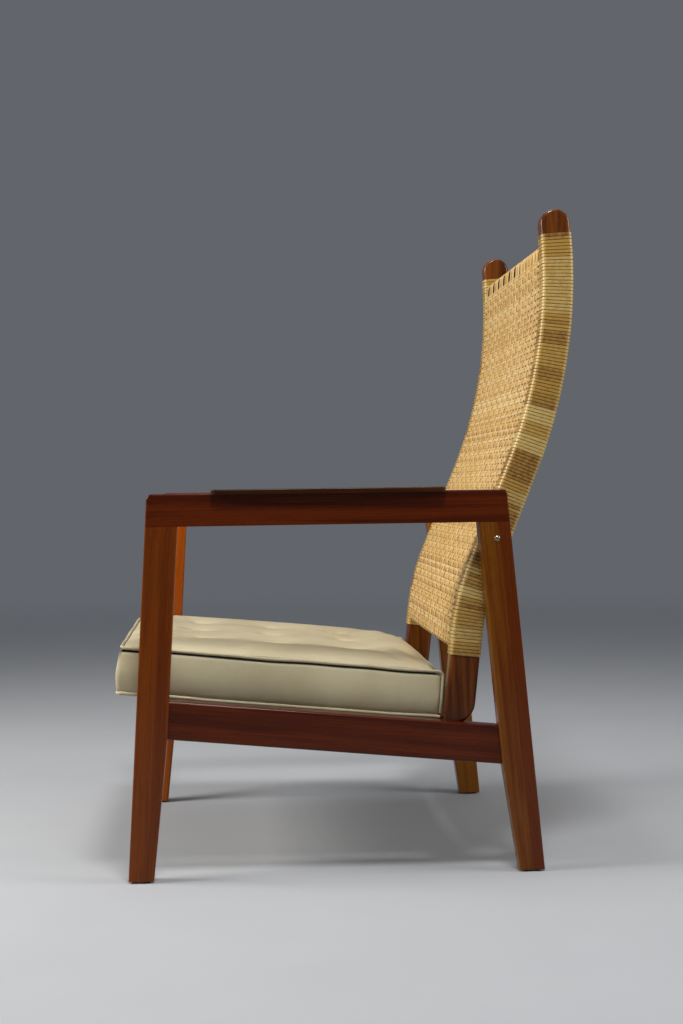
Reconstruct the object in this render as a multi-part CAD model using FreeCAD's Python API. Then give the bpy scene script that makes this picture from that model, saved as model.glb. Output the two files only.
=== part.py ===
import FreeCAD, Part
import math
import os

# High-backed lounge chair: two wooden side frames joined by hidden cross rails, a tall S-shaped
# back of two posts bound and woven with cane, and a loose tufted leather cushion on webbing.
# Lengths are in millimetres. X runs across the chair, Y from front to back, Z up from the floor.

V = FreeCAD.Vector

# Whole chair
chair_height = 1010.0
frame_width = 650.0
side_frame_length = 548.5
cut_overrun = 5.0
cut_tolerance = 0.005

# Legs: the outer edge is straight, the inner edge tapers below the seat rail
leg_thickness = 30.0
leg_depth = 48.0
foot_depth = 38.0
front_leg_lean_deg = 3.5
rear_leg_lean_deg = 5.1
leg_edge_radius = 2.5
glide_height = 3.0
glide_radius = 13.0
glide_nail_radius = 1.25
glide_nail_length = 18.0

# Arms
arm_top = 580.0
arm_height = 49.0
arm_edge_radius = 3.0
arm_front_corner_radius = 9.0
arm_rear_corner_radius = 6.0
pad_width = 47.0
pad_thickness = 8.0
pad_sunk_depth = 2.5
pad_front_setback = 98.5
pad_rear_setback = 98.0
pad_outer_overhang = 10.0
pad_corner_radius = 9.0
pad_edge_radius = 2.0
pad_screw_radius = 2.0
pad_screw_head_radius = 4.0
pad_screw_head_height = 3.0
pad_screw_bite = 5.0
pad_screw_end_share = 0.2

# Seat frame: everything here follows the slope of the seat
seat_front_height = 270.0
seat_rake_deg = 5.6
side_rail_height = 58.0
side_rail_thickness = 30.0
side_rail_recess = 10.0
side_rail_edge_radius = 4.0
cross_rail_height = 50.0
front_rail_thickness = 24.0
rear_rail_thickness = 36.0
rear_rail_foot_seat = 18.0

# Webbing
strap_count = 5
strap_width = 50.0
strap_thickness = 3.0
strap_pitch = 98.0
strap_lap = 9.0
clip_length = 12.0
clip_height = 6.6
clip_side_margin = 1.5
clip_clearance = 0.2

# Dowels
dowel_radius = 5.0
dowel_clearance = 0.05
dowel_depth = 22.0
dowel_leg_depth = 16.0
dowel_edge_inset = 13.0

# Back posts: a foot, a lower bend, a leaning straight and a long upper bend, with a domed end
post_depth = 46.0
post_width = 30.0
post_edge_radius = 5.0
post_foot_setback = 130.5
post_foot_corner_radius = 34.0
post_foot_lean_deg = 6.5
post_foot_straight = 133.0
post_lower_bend_radius = 371.0
post_middle_lean_deg = 22.25
post_middle_straight = 173.5
post_upper_bend_radius = 784.0
post_splay_deg = 1.0
post_splay_rise = 120.0
post_leg_gap = 0.5
foot_dowel_radius = 4.0
foot_dowel_depth = 28.0
foot_dowel_front_inset = 6.5

# Cane binding and the woven panel
wrap_thickness = 1.5
wrap_gap = 0.15
wrap_bottom_rise = 56.0
wrap_top_drop = 33.0
panel_thickness = 3.0
panel_bottom_rise = 62.0
panel_top_drop = 50.0
panel_gap = 0.3
back_rail_depth = 20.0
back_rail_height = 26.0
back_rail_edge_radius = 3.0
back_top_rail_drop = 69.0
back_bottom_rail_rise = 82.0

# Bolts that hold the back posts to the rear legs
bolt_drop = 25.0
bolt_rear_setback = 20.0
bolt_radius = 3.0
bolt_clearance = 0.3
bolt_head_radius = 4.5
bolt_head_height = 2.2
bolt_bite = 20.0
insert_radius = 5.0
insert_length = 14.0
thread_clearance = 0.05
spacer_radius = 10.0
spacer_clearance = 0.25

# Cushion
cushion_front_overhang = 84.7
cushion_post_gap = 2.9
cushion_leg_gap = 15.0
cushion_boxing = 71.5
cushion_side_bulge = 3.5
cushion_end_bulge = 0.5
cushion_draw = 8.0
cushion_crown = 27.0
cushion_front_rise = 70.0
cushion_rear_fall = 95.0
cushion_seat_gap = 0.3
cover_thickness = 1.5
foam_gap = 0.3
tuft_rows = 3
tuft_columns = 3
tuft_pitch_across_share = 0.25
tuft_pitch_along_share = 0.246
tuft_first_share = 0.232
tuft_depth = 9.0
tuft_radius = 34.0
tuft_tie_radius = 4.0
tuft_tie_height = 1.6
welt_radius = 3.2
welt_gap = 0.5
welt_corner_radius = 7.0

# Shares of the cushion's front rise and rear fall at which the crown reaches a share of its height
rise_place_shares = (0.25, 0.5, 0.75, 1.0)
rise_height_shares = (0.45, 0.75, 0.93, 1.0)
fall_place_shares = (0.0, 0.3, 0.55, 0.75, 0.9)
fall_height_shares = (1.0, 0.9, 0.68, 0.36, 0.05)

# Places that follow from the sizes above
arm_bottom = arm_top - arm_height
half_frame = frame_width / 2
leg_inner = half_frame - leg_thickness
front_slope = math.tan(math.radians(front_leg_lean_deg))
rear_slope = math.tan(math.radians(rear_leg_lean_deg))
rake = math.radians(seat_rake_deg)
seat_start = leg_depth - (arm_bottom - seat_front_height) * front_slope
rail_outer = half_frame - side_rail_recess
rail_inner = rail_outer - side_rail_thickness
rail_middle = (rail_outer + rail_inner) / 2
leg_middle = half_frame - leg_thickness / 2
reach = chair_height
pad_length = side_frame_length - pad_front_setback - pad_rear_setback
post_foot_front = side_frame_length - post_foot_setback
post_splay_height = seat_front_height + post_splay_rise
wrap_bottom_height = seat_front_height + wrap_bottom_rise
wrap_top_height = chair_height - wrap_top_drop
panel_bottom_height = seat_front_height + panel_bottom_rise
panel_top_height = chair_height - panel_top_drop
back_bottom_rail_height = seat_front_height + back_bottom_rail_rise
back_top_rail_height = chair_height - back_top_rail_drop
bolt_height = arm_bottom - bolt_drop
bolt_setback = side_frame_length - bolt_rear_setback
cushion_half_width = leg_inner - cushion_leg_gap
cushion_length = cushion_front_overhang + post_foot_front - cushion_post_gap
tuft_pitch_across = cushion_half_width * 2 * tuft_pitch_across_share
tuft_pitch_along = cushion_length * tuft_pitch_along_share
tuft_first_setback = cushion_length * tuft_first_share

seat_placement = FreeCAD.Placement(
    V(0, seat_start, seat_front_height), FreeCAD.Rotation(V(1, 0, 0), -seat_rake_deg))

nodes = {}


def front_edge(z):
    """Front edge of the front leg at height z."""
    return (z - arm_bottom) * front_slope


def rear_edge(z):
    """Rear edge of the rear leg at height z."""
    return side_frame_length + (arm_bottom - z) * rear_slope


def seat_point(along, normal):
    """Side-view point at a distance along the sloping seat and a height square to it."""
    y = seat_start + along * math.cos(rake) + normal * math.sin(rake)
    z = seat_front_height - along * math.sin(rake) + normal * math.cos(rake)
    return y, z


def on_seat(shape):
    """Carry a shape drawn on a flat seat onto the sloping one."""
    placed = shape.copy()
    placed.Placement = seat_placement.multiply(placed.Placement)
    return placed


def box(x0, x1, y0, y1, z0, z1):
    return Part.makeBox(x1 - x0, y1 - y0, z1 - z0, V(x0, y0, z0))


def cylinder(radius, start, direction, length):
    return Part.makeCylinder(radius, length, start, direction)


def prism(outline, x0, x1):
    """Side-view outline, as points or edges, drawn out across the chair."""
    if isinstance(outline[0], tuple):
        points = [V(x0, y, z) for y, z in outline]
        wire = Part.makePolygon(points + points[:1])
    else:
        wire = Part.Wire(outline)
    return Part.Face(wire).extrude(V(x1 - x0, 0, 0))


def mirrored(shape):
    return shape.mirror(V(0, 0, 0), V(1, 0, 0))


def joined(shapes):
    return Part.makeCompound(shapes)


def cut_all(shape, tools):
    for tool in tools:
        shape = shape.cut(tool)
    return shape


def steep(edge):
    """True for an edge that climbs more than it runs."""
    low, high = edge.BoundBox.ZMin, edge.BoundBox.ZMax
    return high - low > edge.Length / 2


def crosswise(edge):
    return edge.BoundBox.XLength > edge.Length / 2


def add_pair(name, left):
    nodes[name + "_left"] = left
    nodes[name + "_right"] = mirrored(left)


def both_sides(shapes):
    return shapes + [mirrored(shape) for shape in shapes]


# Side frames

front_knee = seat_point(0, -side_rail_height)[1]
rear_rail_along = (rear_edge(seat_front_height) - leg_depth - seat_start) / math.cos(rake)
rear_knee = seat_point(rear_rail_along, -side_rail_height)[1]


def front_leg():
    outline = [
        (front_edge(arm_bottom), arm_bottom),
        (front_edge(glide_height), glide_height),
        (front_edge(glide_height) + foot_depth, glide_height),
        (front_edge(front_knee) + leg_depth, front_knee),
        (front_edge(arm_bottom) + leg_depth, arm_bottom)]
    leg = prism(outline, leg_inner, half_frame)
    return leg.makeFillet(leg_edge_radius, [edge for edge in leg.Edges if steep(edge)])


def rear_leg():
    outline = [
        (rear_edge(arm_bottom), arm_bottom),
        (rear_edge(glide_height), glide_height),
        (rear_edge(glide_height) - foot_depth, glide_height),
        (rear_edge(rear_knee) - leg_depth, rear_knee),
        (rear_edge(arm_bottom) - leg_depth, arm_bottom)]
    leg = prism(outline, leg_inner, half_frame)
    return leg.makeFillet(leg_edge_radius, [edge for edge in leg.Edges if steep(edge)])


def arm_rail():
    outline = [
        (front_edge(arm_bottom), arm_bottom),
        (front_edge(arm_top), arm_top),
        (rear_edge(arm_top), arm_top),
        (rear_edge(arm_bottom), arm_bottom)]
    rail = prism(outline, leg_inner, half_frame)
    middle = side_frame_length / 2
    for front, radius in ((True, arm_front_corner_radius), (False, arm_rear_corner_radius)):
        corners = []
        for edge in rail.Edges:
            centre = edge.CenterOfMass
            if crosswise(edge) and centre.z > arm_top - cut_overrun and (centre.y < middle) == front:
                corners.append(edge)
        rail = rail.makeFillet(radius, corners)
    rims = []
    for edge in rail.Edges:
        above = edge.BoundBox.ZMax > arm_bottom + cut_overrun
        if above and edge.BoundBox.XLength < arm_edge_radius:
            rims.append(edge)
    rail = rail.makeFillet(arm_edge_radius, rims)
    recess_top = arm_top + cut_overrun
    recess = box(leg_inner - cut_overrun, half_frame + cut_overrun, pad_front_setback,
                 pad_front_setback + pad_length, arm_top - pad_sunk_depth, recess_top)
    return rail.cut(recess)


def arm_pad():
    outer = half_frame + pad_outer_overhang
    bottom = arm_top - pad_sunk_depth
    pad = box(outer - pad_width, outer, pad_front_setback, pad_front_setback + pad_length,
              bottom, bottom + pad_thickness)
    pad = pad.makeFillet(pad_corner_radius, [edge for edge in pad.Edges if steep(edge)])
    top_rim = [edge for edge in pad.Edges if edge.BoundBox.ZMin > bottom + pad_thickness / 2]
    return pad.makeFillet(pad_edge_radius, top_rim)


def pad_screws():
    """Screws driven up through the arm into the pad, and the holes that they need."""
    screws = []
    holes = []
    bottom = arm_top - pad_sunk_depth
    for share in (pad_screw_end_share, 1 - pad_screw_end_share):
        y = pad_front_setback + pad_length * share
        foot = V(leg_middle, y, arm_bottom)
        shank_length = bottom + pad_screw_bite - arm_bottom
        head = cylinder(pad_screw_head_radius, foot, V(0, 0, 1), pad_screw_head_height)
        shank = cylinder(pad_screw_radius, foot, V(0, 0, 1), shank_length)
        screws.append(head.fuse(shank))
        start = V(leg_middle, y, arm_bottom - cut_overrun)
        holes.append(cylinder(pad_screw_head_radius + dowel_clearance, start, V(0, 0, 1),
                              pad_screw_head_height + cut_overrun))
        holes.append(cylinder(pad_screw_radius + dowel_clearance, foot, V(0, 0, 1), shank_length))
    return screws, holes


def side_rail():
    slope = math.tan(rake)

    def meet(normal, rear):
        """Where the line at a height over the seat meets the inner edge of a leg."""
        y0, z0 = seat_point(0, normal)
        if rear:
            start = side_frame_length - leg_depth + arm_bottom * rear_slope - z0 * rear_slope
            y = (start - slope * rear_slope * y0) / (1 - slope * rear_slope)
        else:
            start = leg_depth + (z0 - arm_bottom) * front_slope
            y = (start + slope * front_slope * y0) / (1 + slope * front_slope)
        return y, z0 - slope * (y - y0)

    outline = [meet(0, False), meet(-side_rail_height, False),
               meet(-side_rail_height, True), meet(0, True)]
    rail = prism(outline, rail_inner, rail_outer)
    long_edges = [edge for edge in rail.Edges if edge.BoundBox.YLength > rear_rail_along / 2]
    return rail.makeFillet(side_rail_edge_radius, long_edges)


def dowels(centres, direction, into, out_of, radius=dowel_radius):
    """Dowels that cross a joint face, and the two-ended holes that hold them."""
    pins = []
    holes = []
    for centre in centres:
        pin_start = centre - direction * into
        pins.append(cylinder(radius, pin_start, direction, into + out_of))
        hole_start = centre - direction * (into + dowel_clearance)
        hole_length = into + out_of + dowel_clearance * 2
        holes.append(cylinder(radius + dowel_clearance, hole_start, direction, hole_length))
    return pins, holes


seat_direction = V(0, math.cos(rake), -math.sin(rake))
rail_dowel_heights = (-dowel_edge_inset, dowel_edge_inset - side_rail_height)
cross_dowel_heights = (-dowel_edge_inset, dowel_edge_inset - cross_rail_height)

arm_dowel_places = []
for edge_start in (front_edge(arm_bottom), rear_edge(arm_bottom) - leg_depth):
    for inset in (dowel_edge_inset, leg_depth - dowel_edge_inset):
        arm_dowel_places.append(V(leg_middle, edge_start + inset, arm_bottom))
arm_pins, arm_holes = dowels(arm_dowel_places, V(0, 0, 1), dowel_depth, dowel_depth)

front_joint = [V(rail_middle, *seat_point(0, height)) for height in rail_dowel_heights]
rear_joint = [V(rail_middle, *seat_point(rear_rail_along, height)) for height in rail_dowel_heights]
front_pins, front_holes = dowels(front_joint, seat_direction, dowel_leg_depth, dowel_depth)
rear_pins, rear_holes = dowels(rear_joint, seat_direction, dowel_depth, dowel_leg_depth)

front_rail_along = -leg_depth / 2
front_cross_joint = [V(leg_inner, *seat_point(front_rail_along, height)) for height in cross_dowel_heights]
front_cross_pins, front_cross_holes = dowels(front_cross_joint, V(1, 0, 0), dowel_depth, dowel_leg_depth)

rear_rail_end = post_foot_front + rear_rail_foot_seat
rear_rail_start = rear_rail_end - rear_rail_thickness
rear_cross_along = rear_rail_start + dowel_edge_inset
rear_cross_joint = [V(rail_inner, *seat_point(rear_cross_along, height)) for height in cross_dowel_heights]
rear_cross_pins, rear_cross_holes = dowels(rear_cross_joint, V(1, 0, 0), dowel_depth, dowel_leg_depth)


# Webbing and the cross rails that carry it

strap_front = front_rail_along - clip_length / 2
strap_rear = rear_rail_start + clip_clearance + clip_length * 3 / 2
strap_places = [(index - (strap_count - 1) / 2) * strap_pitch for index in range(strap_count)]
clip_bottom = -clip_height - clip_clearance


def strap(x):
    return box(x - strap_width / 2, x + strap_width / 2, strap_front + clip_length - strap_lap,
               strap_rear - clip_length + strap_lap, -strap_thickness, 0)


def clip(x, start, clearance):
    """Steel channel on a strap's end, or the groove that it drops into."""
    half = strap_width / 2 + clip_side_margin + clearance
    return box(x - half, x + half, start - clearance, start + clip_length + clearance,
               clip_bottom, -clip_clearance + clearance)


def webbing():
    straps = []
    clips = []
    grooves = []
    for x in strap_places:
        band = strap(x)
        for start in (strap_front, strap_rear - clip_length):
            clips.append(on_seat(clip(x, start, 0).cut(band)))
            grooves.append(on_seat(clip(x, start, clip_clearance)))
        straps.append(on_seat(band))
    return straps, clips, grooves


def front_cross_rail():
    half = front_rail_thickness / 2
    return on_seat(box(-leg_inner, leg_inner, front_rail_along - half, front_rail_along + half,
                       -strap_thickness - cross_rail_height, -strap_thickness))


def rear_cross_rail():
    rail = box(-rail_inner, rail_inner, rear_rail_start, rear_rail_end, -cross_rail_height, 0)
    rebate = box(-rail_inner, rail_inner, rear_rail_start - cut_overrun,
                 strap_rear + clip_clearance, -strap_thickness, cut_overrun)
    return on_seat(rail.cut(rebate))


# Back posts

foot_lean = math.radians(post_foot_lean_deg)
middle_lean = math.radians(post_middle_lean_deg)
foot_front_point = seat_point(post_foot_front, 0)


def along_lean(point, lean, distance):
    return point[0] + math.sin(lean) * distance, point[1] + math.cos(lean) * distance


def off_lean(point, lean, distance):
    """Move a point square to the post, towards the rear."""
    return point[0] + math.cos(lean) * distance, point[1] - math.sin(lean) * distance


def bend(point, lean, radius, new_lean):
    """End of a bend that starts at a point with one lean and ends with another."""
    centre = off_lean(point, lean, radius)
    return off_lean(centre, new_lean, -radius)


foot_start = off_lean(foot_front_point, foot_lean, post_depth / 2)
foot_end = along_lean(foot_start, foot_lean, post_foot_straight)
lower_end = bend(foot_end, foot_lean, post_lower_bend_radius, middle_lean)
middle_end = along_lean(lower_end, middle_lean, post_middle_straight)
dome_height = chair_height - post_depth / 2
upper_sine = math.sin(middle_lean) - (dome_height - middle_end[1]) / post_upper_bend_radius
top_lean = math.asin(upper_sine)
upper_end = bend(middle_end, middle_lean, -post_upper_bend_radius, top_lean)


def post_at(height):
    """Middle of the post and its lean at a height."""
    if height < foot_end[1]:
        return along_lean(foot_start, foot_lean, (height - foot_start[1]) / math.cos(foot_lean)), foot_lean
    if height < lower_end[1]:
        sine = math.sin(foot_lean) + (height - foot_end[1]) / post_lower_bend_radius
        lean = math.asin(sine)
        return bend(foot_end, foot_lean, post_lower_bend_radius, lean), lean
    if height < middle_end[1]:
        distance = (height - lower_end[1]) / math.cos(middle_lean)
        return along_lean(lower_end, middle_lean, distance), middle_lean
    sine = math.sin(middle_lean) - (height - middle_end[1]) / post_upper_bend_radius
    lean = math.asin(sine)
    return bend(middle_end, middle_lean, -post_upper_bend_radius, lean), lean


def side_edges(x, offset, start_drop):
    """Edges of one side of the S curve, from the foot up, at a distance from its middle line."""
    def at(point, lean):
        y, z = off_lean(point, lean, offset)
        return V(x, y, z)

    low = along_lean(foot_start, foot_lean, -start_drop)
    lower_mid_lean = (foot_lean + middle_lean) / 2
    upper_mid_lean = (middle_lean + top_lean) / 2
    lower_mid = bend(foot_end, foot_lean, post_lower_bend_radius, lower_mid_lean)
    upper_mid = bend(middle_end, middle_lean, -post_upper_bend_radius, upper_mid_lean)
    bottom = at(low, foot_lean)
    knee = at(foot_end, foot_lean)
    hip = at(lower_end, middle_lean)
    shoulder = at(middle_end, middle_lean)
    crown = at(upper_end, top_lean)
    return [
        Part.makeLine(bottom, knee),
        Part.Arc(knee, at(lower_mid, lower_mid_lean), hip).toShape(),
        Part.makeLine(hip, shoulder),
        Part.Arc(shoulder, at(upper_mid, upper_mid_lean), crown).toShape()]


def end_of(edge, last):
    return edge.Vertexes[-1 if last else 0].Point


def s_band(front_offset, rear_offset, x0, x1, drop):
    """Plain S-shaped bar between two distances from the middle line."""
    front = side_edges(x0, front_offset, drop)
    rear = side_edges(x0, rear_offset, drop)
    top = Part.makeLine(end_of(front[-1], True), end_of(rear[-1], True))
    bottom = Part.makeLine(end_of(rear[0], False), end_of(front[0], False))
    return prism(front + [top] + rear[::-1] + [bottom], x0, x1)


wood_outer = leg_inner - post_leg_gap - wrap_gap - wrap_thickness
wood_inner = wood_outer - post_width


def splayed(shape):
    """Lean a left-hand post shape inwards as it rises."""
    leaned = shape.copy()
    leaned.rotate(V(wood_outer, 0, post_splay_height), V(0, 1, 0), -post_splay_deg)
    return leaned


def rounded_rim(shape, radius, x0, x1, bottom):
    """Round every edge of the two side faces above a height."""
    rims = []
    for edge in shape.Edges:
        bounds = edge.BoundBox
        flat = bounds.XLength < radius / 2
        on_face = bounds.XMin < x0 + radius / 2 or bounds.XMax > x1 - radius / 2
        if flat and on_face and edge.CenterOfMass.z > bottom:
            rims.append(edge)
    return shape.makeFillet(radius, rims)


def back_post():
    x0, x1 = wood_inner, wood_outer
    half = post_depth / 2
    front = side_edges(x0, -half, cut_overrun)
    rear = side_edges(x0, half, cut_overrun)
    dome_top = V(x0, *along_lean(upper_end, top_lean, half))
    half_turn = math.pi / 4
    front_lean_mid = along_lean(upper_end, top_lean, half * math.sin(half_turn))
    front_mid = V(x0, *off_lean(front_lean_mid, top_lean, -half * math.cos(half_turn)))
    rear_mid = V(x0, *off_lean(front_lean_mid, top_lean, half * math.cos(half_turn)))
    dome = [
        Part.Arc(end_of(front[-1], True), front_mid, dome_top).toShape(),
        Part.Arc(dome_top, rear_mid, end_of(rear[-1], True)).toShape()]
    heel = end_of(rear[0], False)
    toe = end_of(front[0], False)
    sole = (heel - toe).normalize()
    up = (end_of(rear[0], True) - heel).normalize()
    corner = post_foot_corner_radius
    sole_end = heel - sole * corner
    heel_end = heel + up * corner
    middle = heel_end - sole * corner + (sole - up) * (corner * math.cos(half_turn))
    outline = front + dome + rear[:0:-1]
    outline.append(Part.makeLine(end_of(rear[0], True), heel_end))
    outline.append(Part.Arc(heel_end, middle, sole_end).toShape())
    outline.append(Part.makeLine(sole_end, toe))
    post = prism(outline, x0, x1)
    post = splayed(rounded_rim(post, post_edge_radius, x0, x1, toe.z + cut_overrun))
    under_seat = on_seat(box(-reach, reach, -reach, reach, -reach, 0))
    return post.cut(under_seat)


def square_end(height, above):
    """Half of space beyond a plane square to the post at a height."""
    point, lean = post_at(height)
    block = box(-reach, reach, -reach, reach, 0 if above else -reach, reach if above else 0)
    block.rotate(V(0, 0, 0), V(1, 0, 0), -math.degrees(lean))
    block.translate(V(0, point[0], point[1]))
    return block


def trimmed(shape, low, high):
    return cut_all(shape, [square_end(low, False), square_end(high, True)])


def sleeve(gap):
    """Post-shaped bar grown by a gap all round."""
    x0, x1 = wood_inner - gap, wood_outer + gap
    half = post_depth / 2 + gap
    bar = s_band(-half, half, x0, x1, 0)
    return rounded_rim(bar, post_edge_radius + gap, x0, x1, foot_start[1] + cut_overrun * 2)


def cane_wrap():
    wrap = sleeve(wrap_gap + wrap_thickness).cut(sleeve(wrap_gap))
    return splayed(trimmed(wrap, wrap_bottom_height, wrap_top_height))


def between_posts(shape, gap):
    """Keep what lies between the inner faces of the two bound posts."""
    inner = wood_inner - wrap_gap - wrap_thickness - gap
    outside = splayed(box(inner, reach, -reach, reach, -reach, reach * 2))
    return cut_all(shape, [outside, mirrored(outside)])


bound_half = post_depth / 2 + wrap_gap + wrap_thickness


def cane_panel():
    sheet = s_band(-bound_half, panel_thickness - bound_half, -half_frame, half_frame, 0)
    return between_posts(trimmed(sheet, panel_bottom_height, panel_top_height), panel_gap)


def back_rail_middle(height):
    point, lean = post_at(height)
    setback = panel_thickness + panel_gap + back_rail_depth / 2 - bound_half
    return off_lean(point, lean, setback), lean


def back_rail(height):
    (y, z), lean = back_rail_middle(height)
    half_depth, half_height = back_rail_depth / 2, back_rail_height / 2
    rail = box(-half_frame, half_frame, -half_depth, half_depth, -half_height, half_height)
    rail = rail.makeFillet(back_rail_edge_radius, [edge for edge in rail.Edges if crosswise(edge)])
    rail.rotate(V(0, 0, 0), V(1, 0, 0), -math.degrees(lean))
    rail.translate(V(0, y, z))
    return between_posts(rail, panel_gap)


def post_face(height):
    """Distance from the middle of the chair to the bound post's inner face."""
    drop = math.tan(math.radians(post_splay_deg)) * (height - post_splay_height)
    return wood_inner - wrap_gap - wrap_thickness - panel_gap - drop


back_joint = []
for rail_height in (back_top_rail_height, back_bottom_rail_height):
    place = back_rail_middle(rail_height)[0]
    back_joint.append(V(post_face(place[1]), *place))
back_pins, back_holes = dowels(back_joint, V(1, 0, 0), dowel_depth, dowel_leg_depth)

foot_normal = V(0, math.sin(rake), math.cos(rake))
foot_dowel_along = post_foot_front + foot_dowel_front_inset
foot_joint = [V((wood_inner + rail_inner) / 2, *seat_point(foot_dowel_along, 0))]
foot_pins, foot_holes = dowels(
    foot_joint, foot_normal, foot_dowel_depth, foot_dowel_depth, foot_dowel_radius)


# Bolts through the rear legs into the posts

bolt_axis = V(1, 0, 0)
bolt_splay = math.tan(math.radians(post_splay_deg)) * (bolt_height - post_splay_height)
bound_outer = leg_inner - post_leg_gap - bolt_splay
bolt_tip = bound_outer - bolt_bite


def at_bolt(x):
    return V(x, bolt_setback, bolt_height)


def back_bolt():
    shank = cylinder(bolt_radius, at_bolt(bolt_tip), bolt_axis, half_frame - bolt_tip)
    ball = (bolt_head_radius ** 2 + bolt_head_height ** 2) / (bolt_head_height * 2)
    head = Part.makeSphere(ball, at_bolt(half_frame + bolt_head_height - ball))
    beyond = box(half_frame - ball * 2, half_frame, -reach, reach, 0, reach)
    return head.cut(beyond).fuse(shank)


def insert_nut():
    body = cylinder(insert_radius, at_bolt(bolt_tip), bolt_axis, insert_length)
    return body.cut(cylinder(bolt_radius + thread_clearance, at_bolt(bolt_tip), bolt_axis, insert_length))


def back_spacer():
    gap = leg_inner - bound_outer
    start = at_bolt(bound_outer + spacer_clearance)
    body = cylinder(spacer_radius, start, bolt_axis, gap - spacer_clearance)
    bore = cylinder(bolt_radius + bolt_clearance, at_bolt(bound_outer), bolt_axis, gap)
    return body.cut(bore)


bolt_way = cylinder(bolt_radius + bolt_clearance, at_bolt(bolt_tip), bolt_axis, half_frame - bolt_tip)
insert_way = cylinder(insert_radius + dowel_clearance, at_bolt(bolt_tip - dowel_clearance), bolt_axis,
                      insert_length + dowel_clearance * 2)


# Feet

def foot_places():
    front = front_edge(glide_height) + foot_depth / 2
    rear = rear_edge(glide_height) - foot_depth / 2
    return [V(leg_middle, y, 0) for y in (front, rear)]


def foot_glide(place):
    disc = cylinder(glide_radius, place, V(0, 0, 1), glide_height)
    return disc.cut(cylinder(glide_nail_radius + dowel_clearance, place, V(0, 0, 1), glide_height))


def glide_nail(place):
    start = place + V(0, 0, glide_height / 3)
    return cylinder(glide_nail_radius, start, V(0, 0, 1), glide_nail_length)


def nail_hole(place):
    start = place + V(0, 0, glide_height / 3)
    length = glide_nail_length + dowel_clearance
    return cylinder(glide_nail_radius + dowel_clearance, start, V(0, 0, 1), length)


# Cushion, drawn flat and then laid on the seat

def cushion_section(along, half_width, low, high, rise, bulge, inset):
    """Closed outline across the cushion: flat below, bulged sides, drawn-in corners and a crown."""
    draw = cushion_draw - inset / 2
    w = half_width - inset
    bottom = low + inset
    top = high - inset

    def at(x, z):
        return V(x, along, z)

    right = [
        Part.makeLine(at(w - draw, bottom), at(w, bottom + draw)),
        Part.Arc(at(w, bottom + draw), at(w + bulge, (bottom + top) / 2), at(w, top - draw)).toShape(),
        Part.makeLine(at(w, top - draw), at(w - draw, top))]
    crown = Part.Arc(at(w - draw, top), at(0, top + rise), at(draw - w, top)).toShape()
    left = [
        Part.makeLine(at(draw - w, top), at(-w, top - draw)),
        Part.Arc(at(-w, top - draw), at(-w - bulge, (bottom + top) / 2), at(-w, bottom + draw)).toShape(),
        Part.makeLine(at(-w, bottom + draw), at(draw - w, bottom))]
    return Part.Wire(right + [crown] + left + [Part.makeLine(at(draw - w, bottom), at(w - draw, bottom))])


def cushion_stations(inset):
    """Places along the cushion with the half width, bottom, top, crown and side bulge at each."""
    w = cushion_half_width
    low = cushion_seat_gap
    high = low + cushion_boxing
    front = inset - cushion_front_overhang
    rear = cushion_length - cushion_front_overhang - inset
    stations = [
        (front, w - cushion_draw, low + cushion_draw, high - cushion_draw,
         cushion_end_bulge, cushion_end_bulge),
        (front + cushion_draw, w, low, high, cushion_end_bulge, cushion_end_bulge)]
    rise_start = front + cushion_draw
    for place, height in zip(rise_place_shares, rise_height_shares):
        along = rise_start + cushion_front_rise * place
        stations.append((along, w, low, high, cushion_crown * height, cushion_side_bulge))
    fall_start = rear - cushion_rear_fall
    for place, height in zip(fall_place_shares, fall_height_shares):
        along = fall_start + cushion_rear_fall * place
        last = place == fall_place_shares[-1]
        bulge = cushion_end_bulge if last else cushion_side_bulge
        stations.append((along, w, low, high, cushion_crown * height, bulge))
    stations.append((rear, w - cushion_draw, low + cushion_draw, high - cushion_draw,
                     cushion_end_bulge, cushion_end_bulge))
    return stations


tuft_ball = (tuft_radius ** 2 + tuft_depth ** 2) / (tuft_depth * 2)


def tuft_places():
    """Middles of the sewn tufts, on the cushion's crown before it is pulled down."""
    places = []
    span = cushion_half_width - cushion_draw
    crown_radius = (span ** 2 + cushion_crown ** 2) / (cushion_crown * 2)
    top = cushion_seat_gap + cushion_boxing + cushion_crown
    for row in range(tuft_rows):
        x = (row - (tuft_rows - 1) / 2) * tuft_pitch_across
        height = top - crown_radius + math.sqrt(crown_radius ** 2 - x ** 2)
        for column in range(tuft_columns):
            along = tuft_first_setback + column * tuft_pitch_along - cushion_front_overhang
            places.append(V(x, along, height))
    return places


def cushion_solid(inset):
    """Cushion in three lengths: a rising front, an even middle with the tufts, and a falling rear."""
    stations = cushion_stations(inset)
    wires = [cushion_section(*station, inset) for station in stations]
    rear_first = len(rise_place_shares) + 2
    even_length = stations[rear_first][0] - stations[rear_first - 1][0]
    middle = Part.Face(wires[rear_first - 1]).extrude(V(0, even_length, 0))
    for place in tuft_places():
        centre = place + V(0, 0, tuft_ball - tuft_depth)
        ball = Part.makeSphere(tuft_ball + inset, centre, V(0, 1, 0))
        middle = middle.cut([ball], cut_tolerance)
    front = Part.makeLoft(wires[:rear_first], True, True)
    rear = Part.makeLoft(wires[rear_first:], True, True)
    return front.fuse([middle, rear])


def welt_path(points):
    """Straight runs joined by quarter bends."""
    edges = []
    start = points[0]
    for before, corner, after in zip(points, points[1:], points[2:]):
        back = (before - corner).normalize()
        ahead = (after - corner).normalize()
        turn_in = corner + back * welt_corner_radius
        turn_out = corner + ahead * welt_corner_radius
        centre = turn_in + ahead * welt_corner_radius
        middle = centre - (back + ahead).normalize() * welt_corner_radius
        edges.append(Part.makeLine(start, turn_in))
        edges.append(Part.Arc(turn_in, middle, turn_out).toShape())
        start = turn_out
    edges.append(Part.makeLine(start, points[-1]))
    return Part.Wire(edges)


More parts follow.
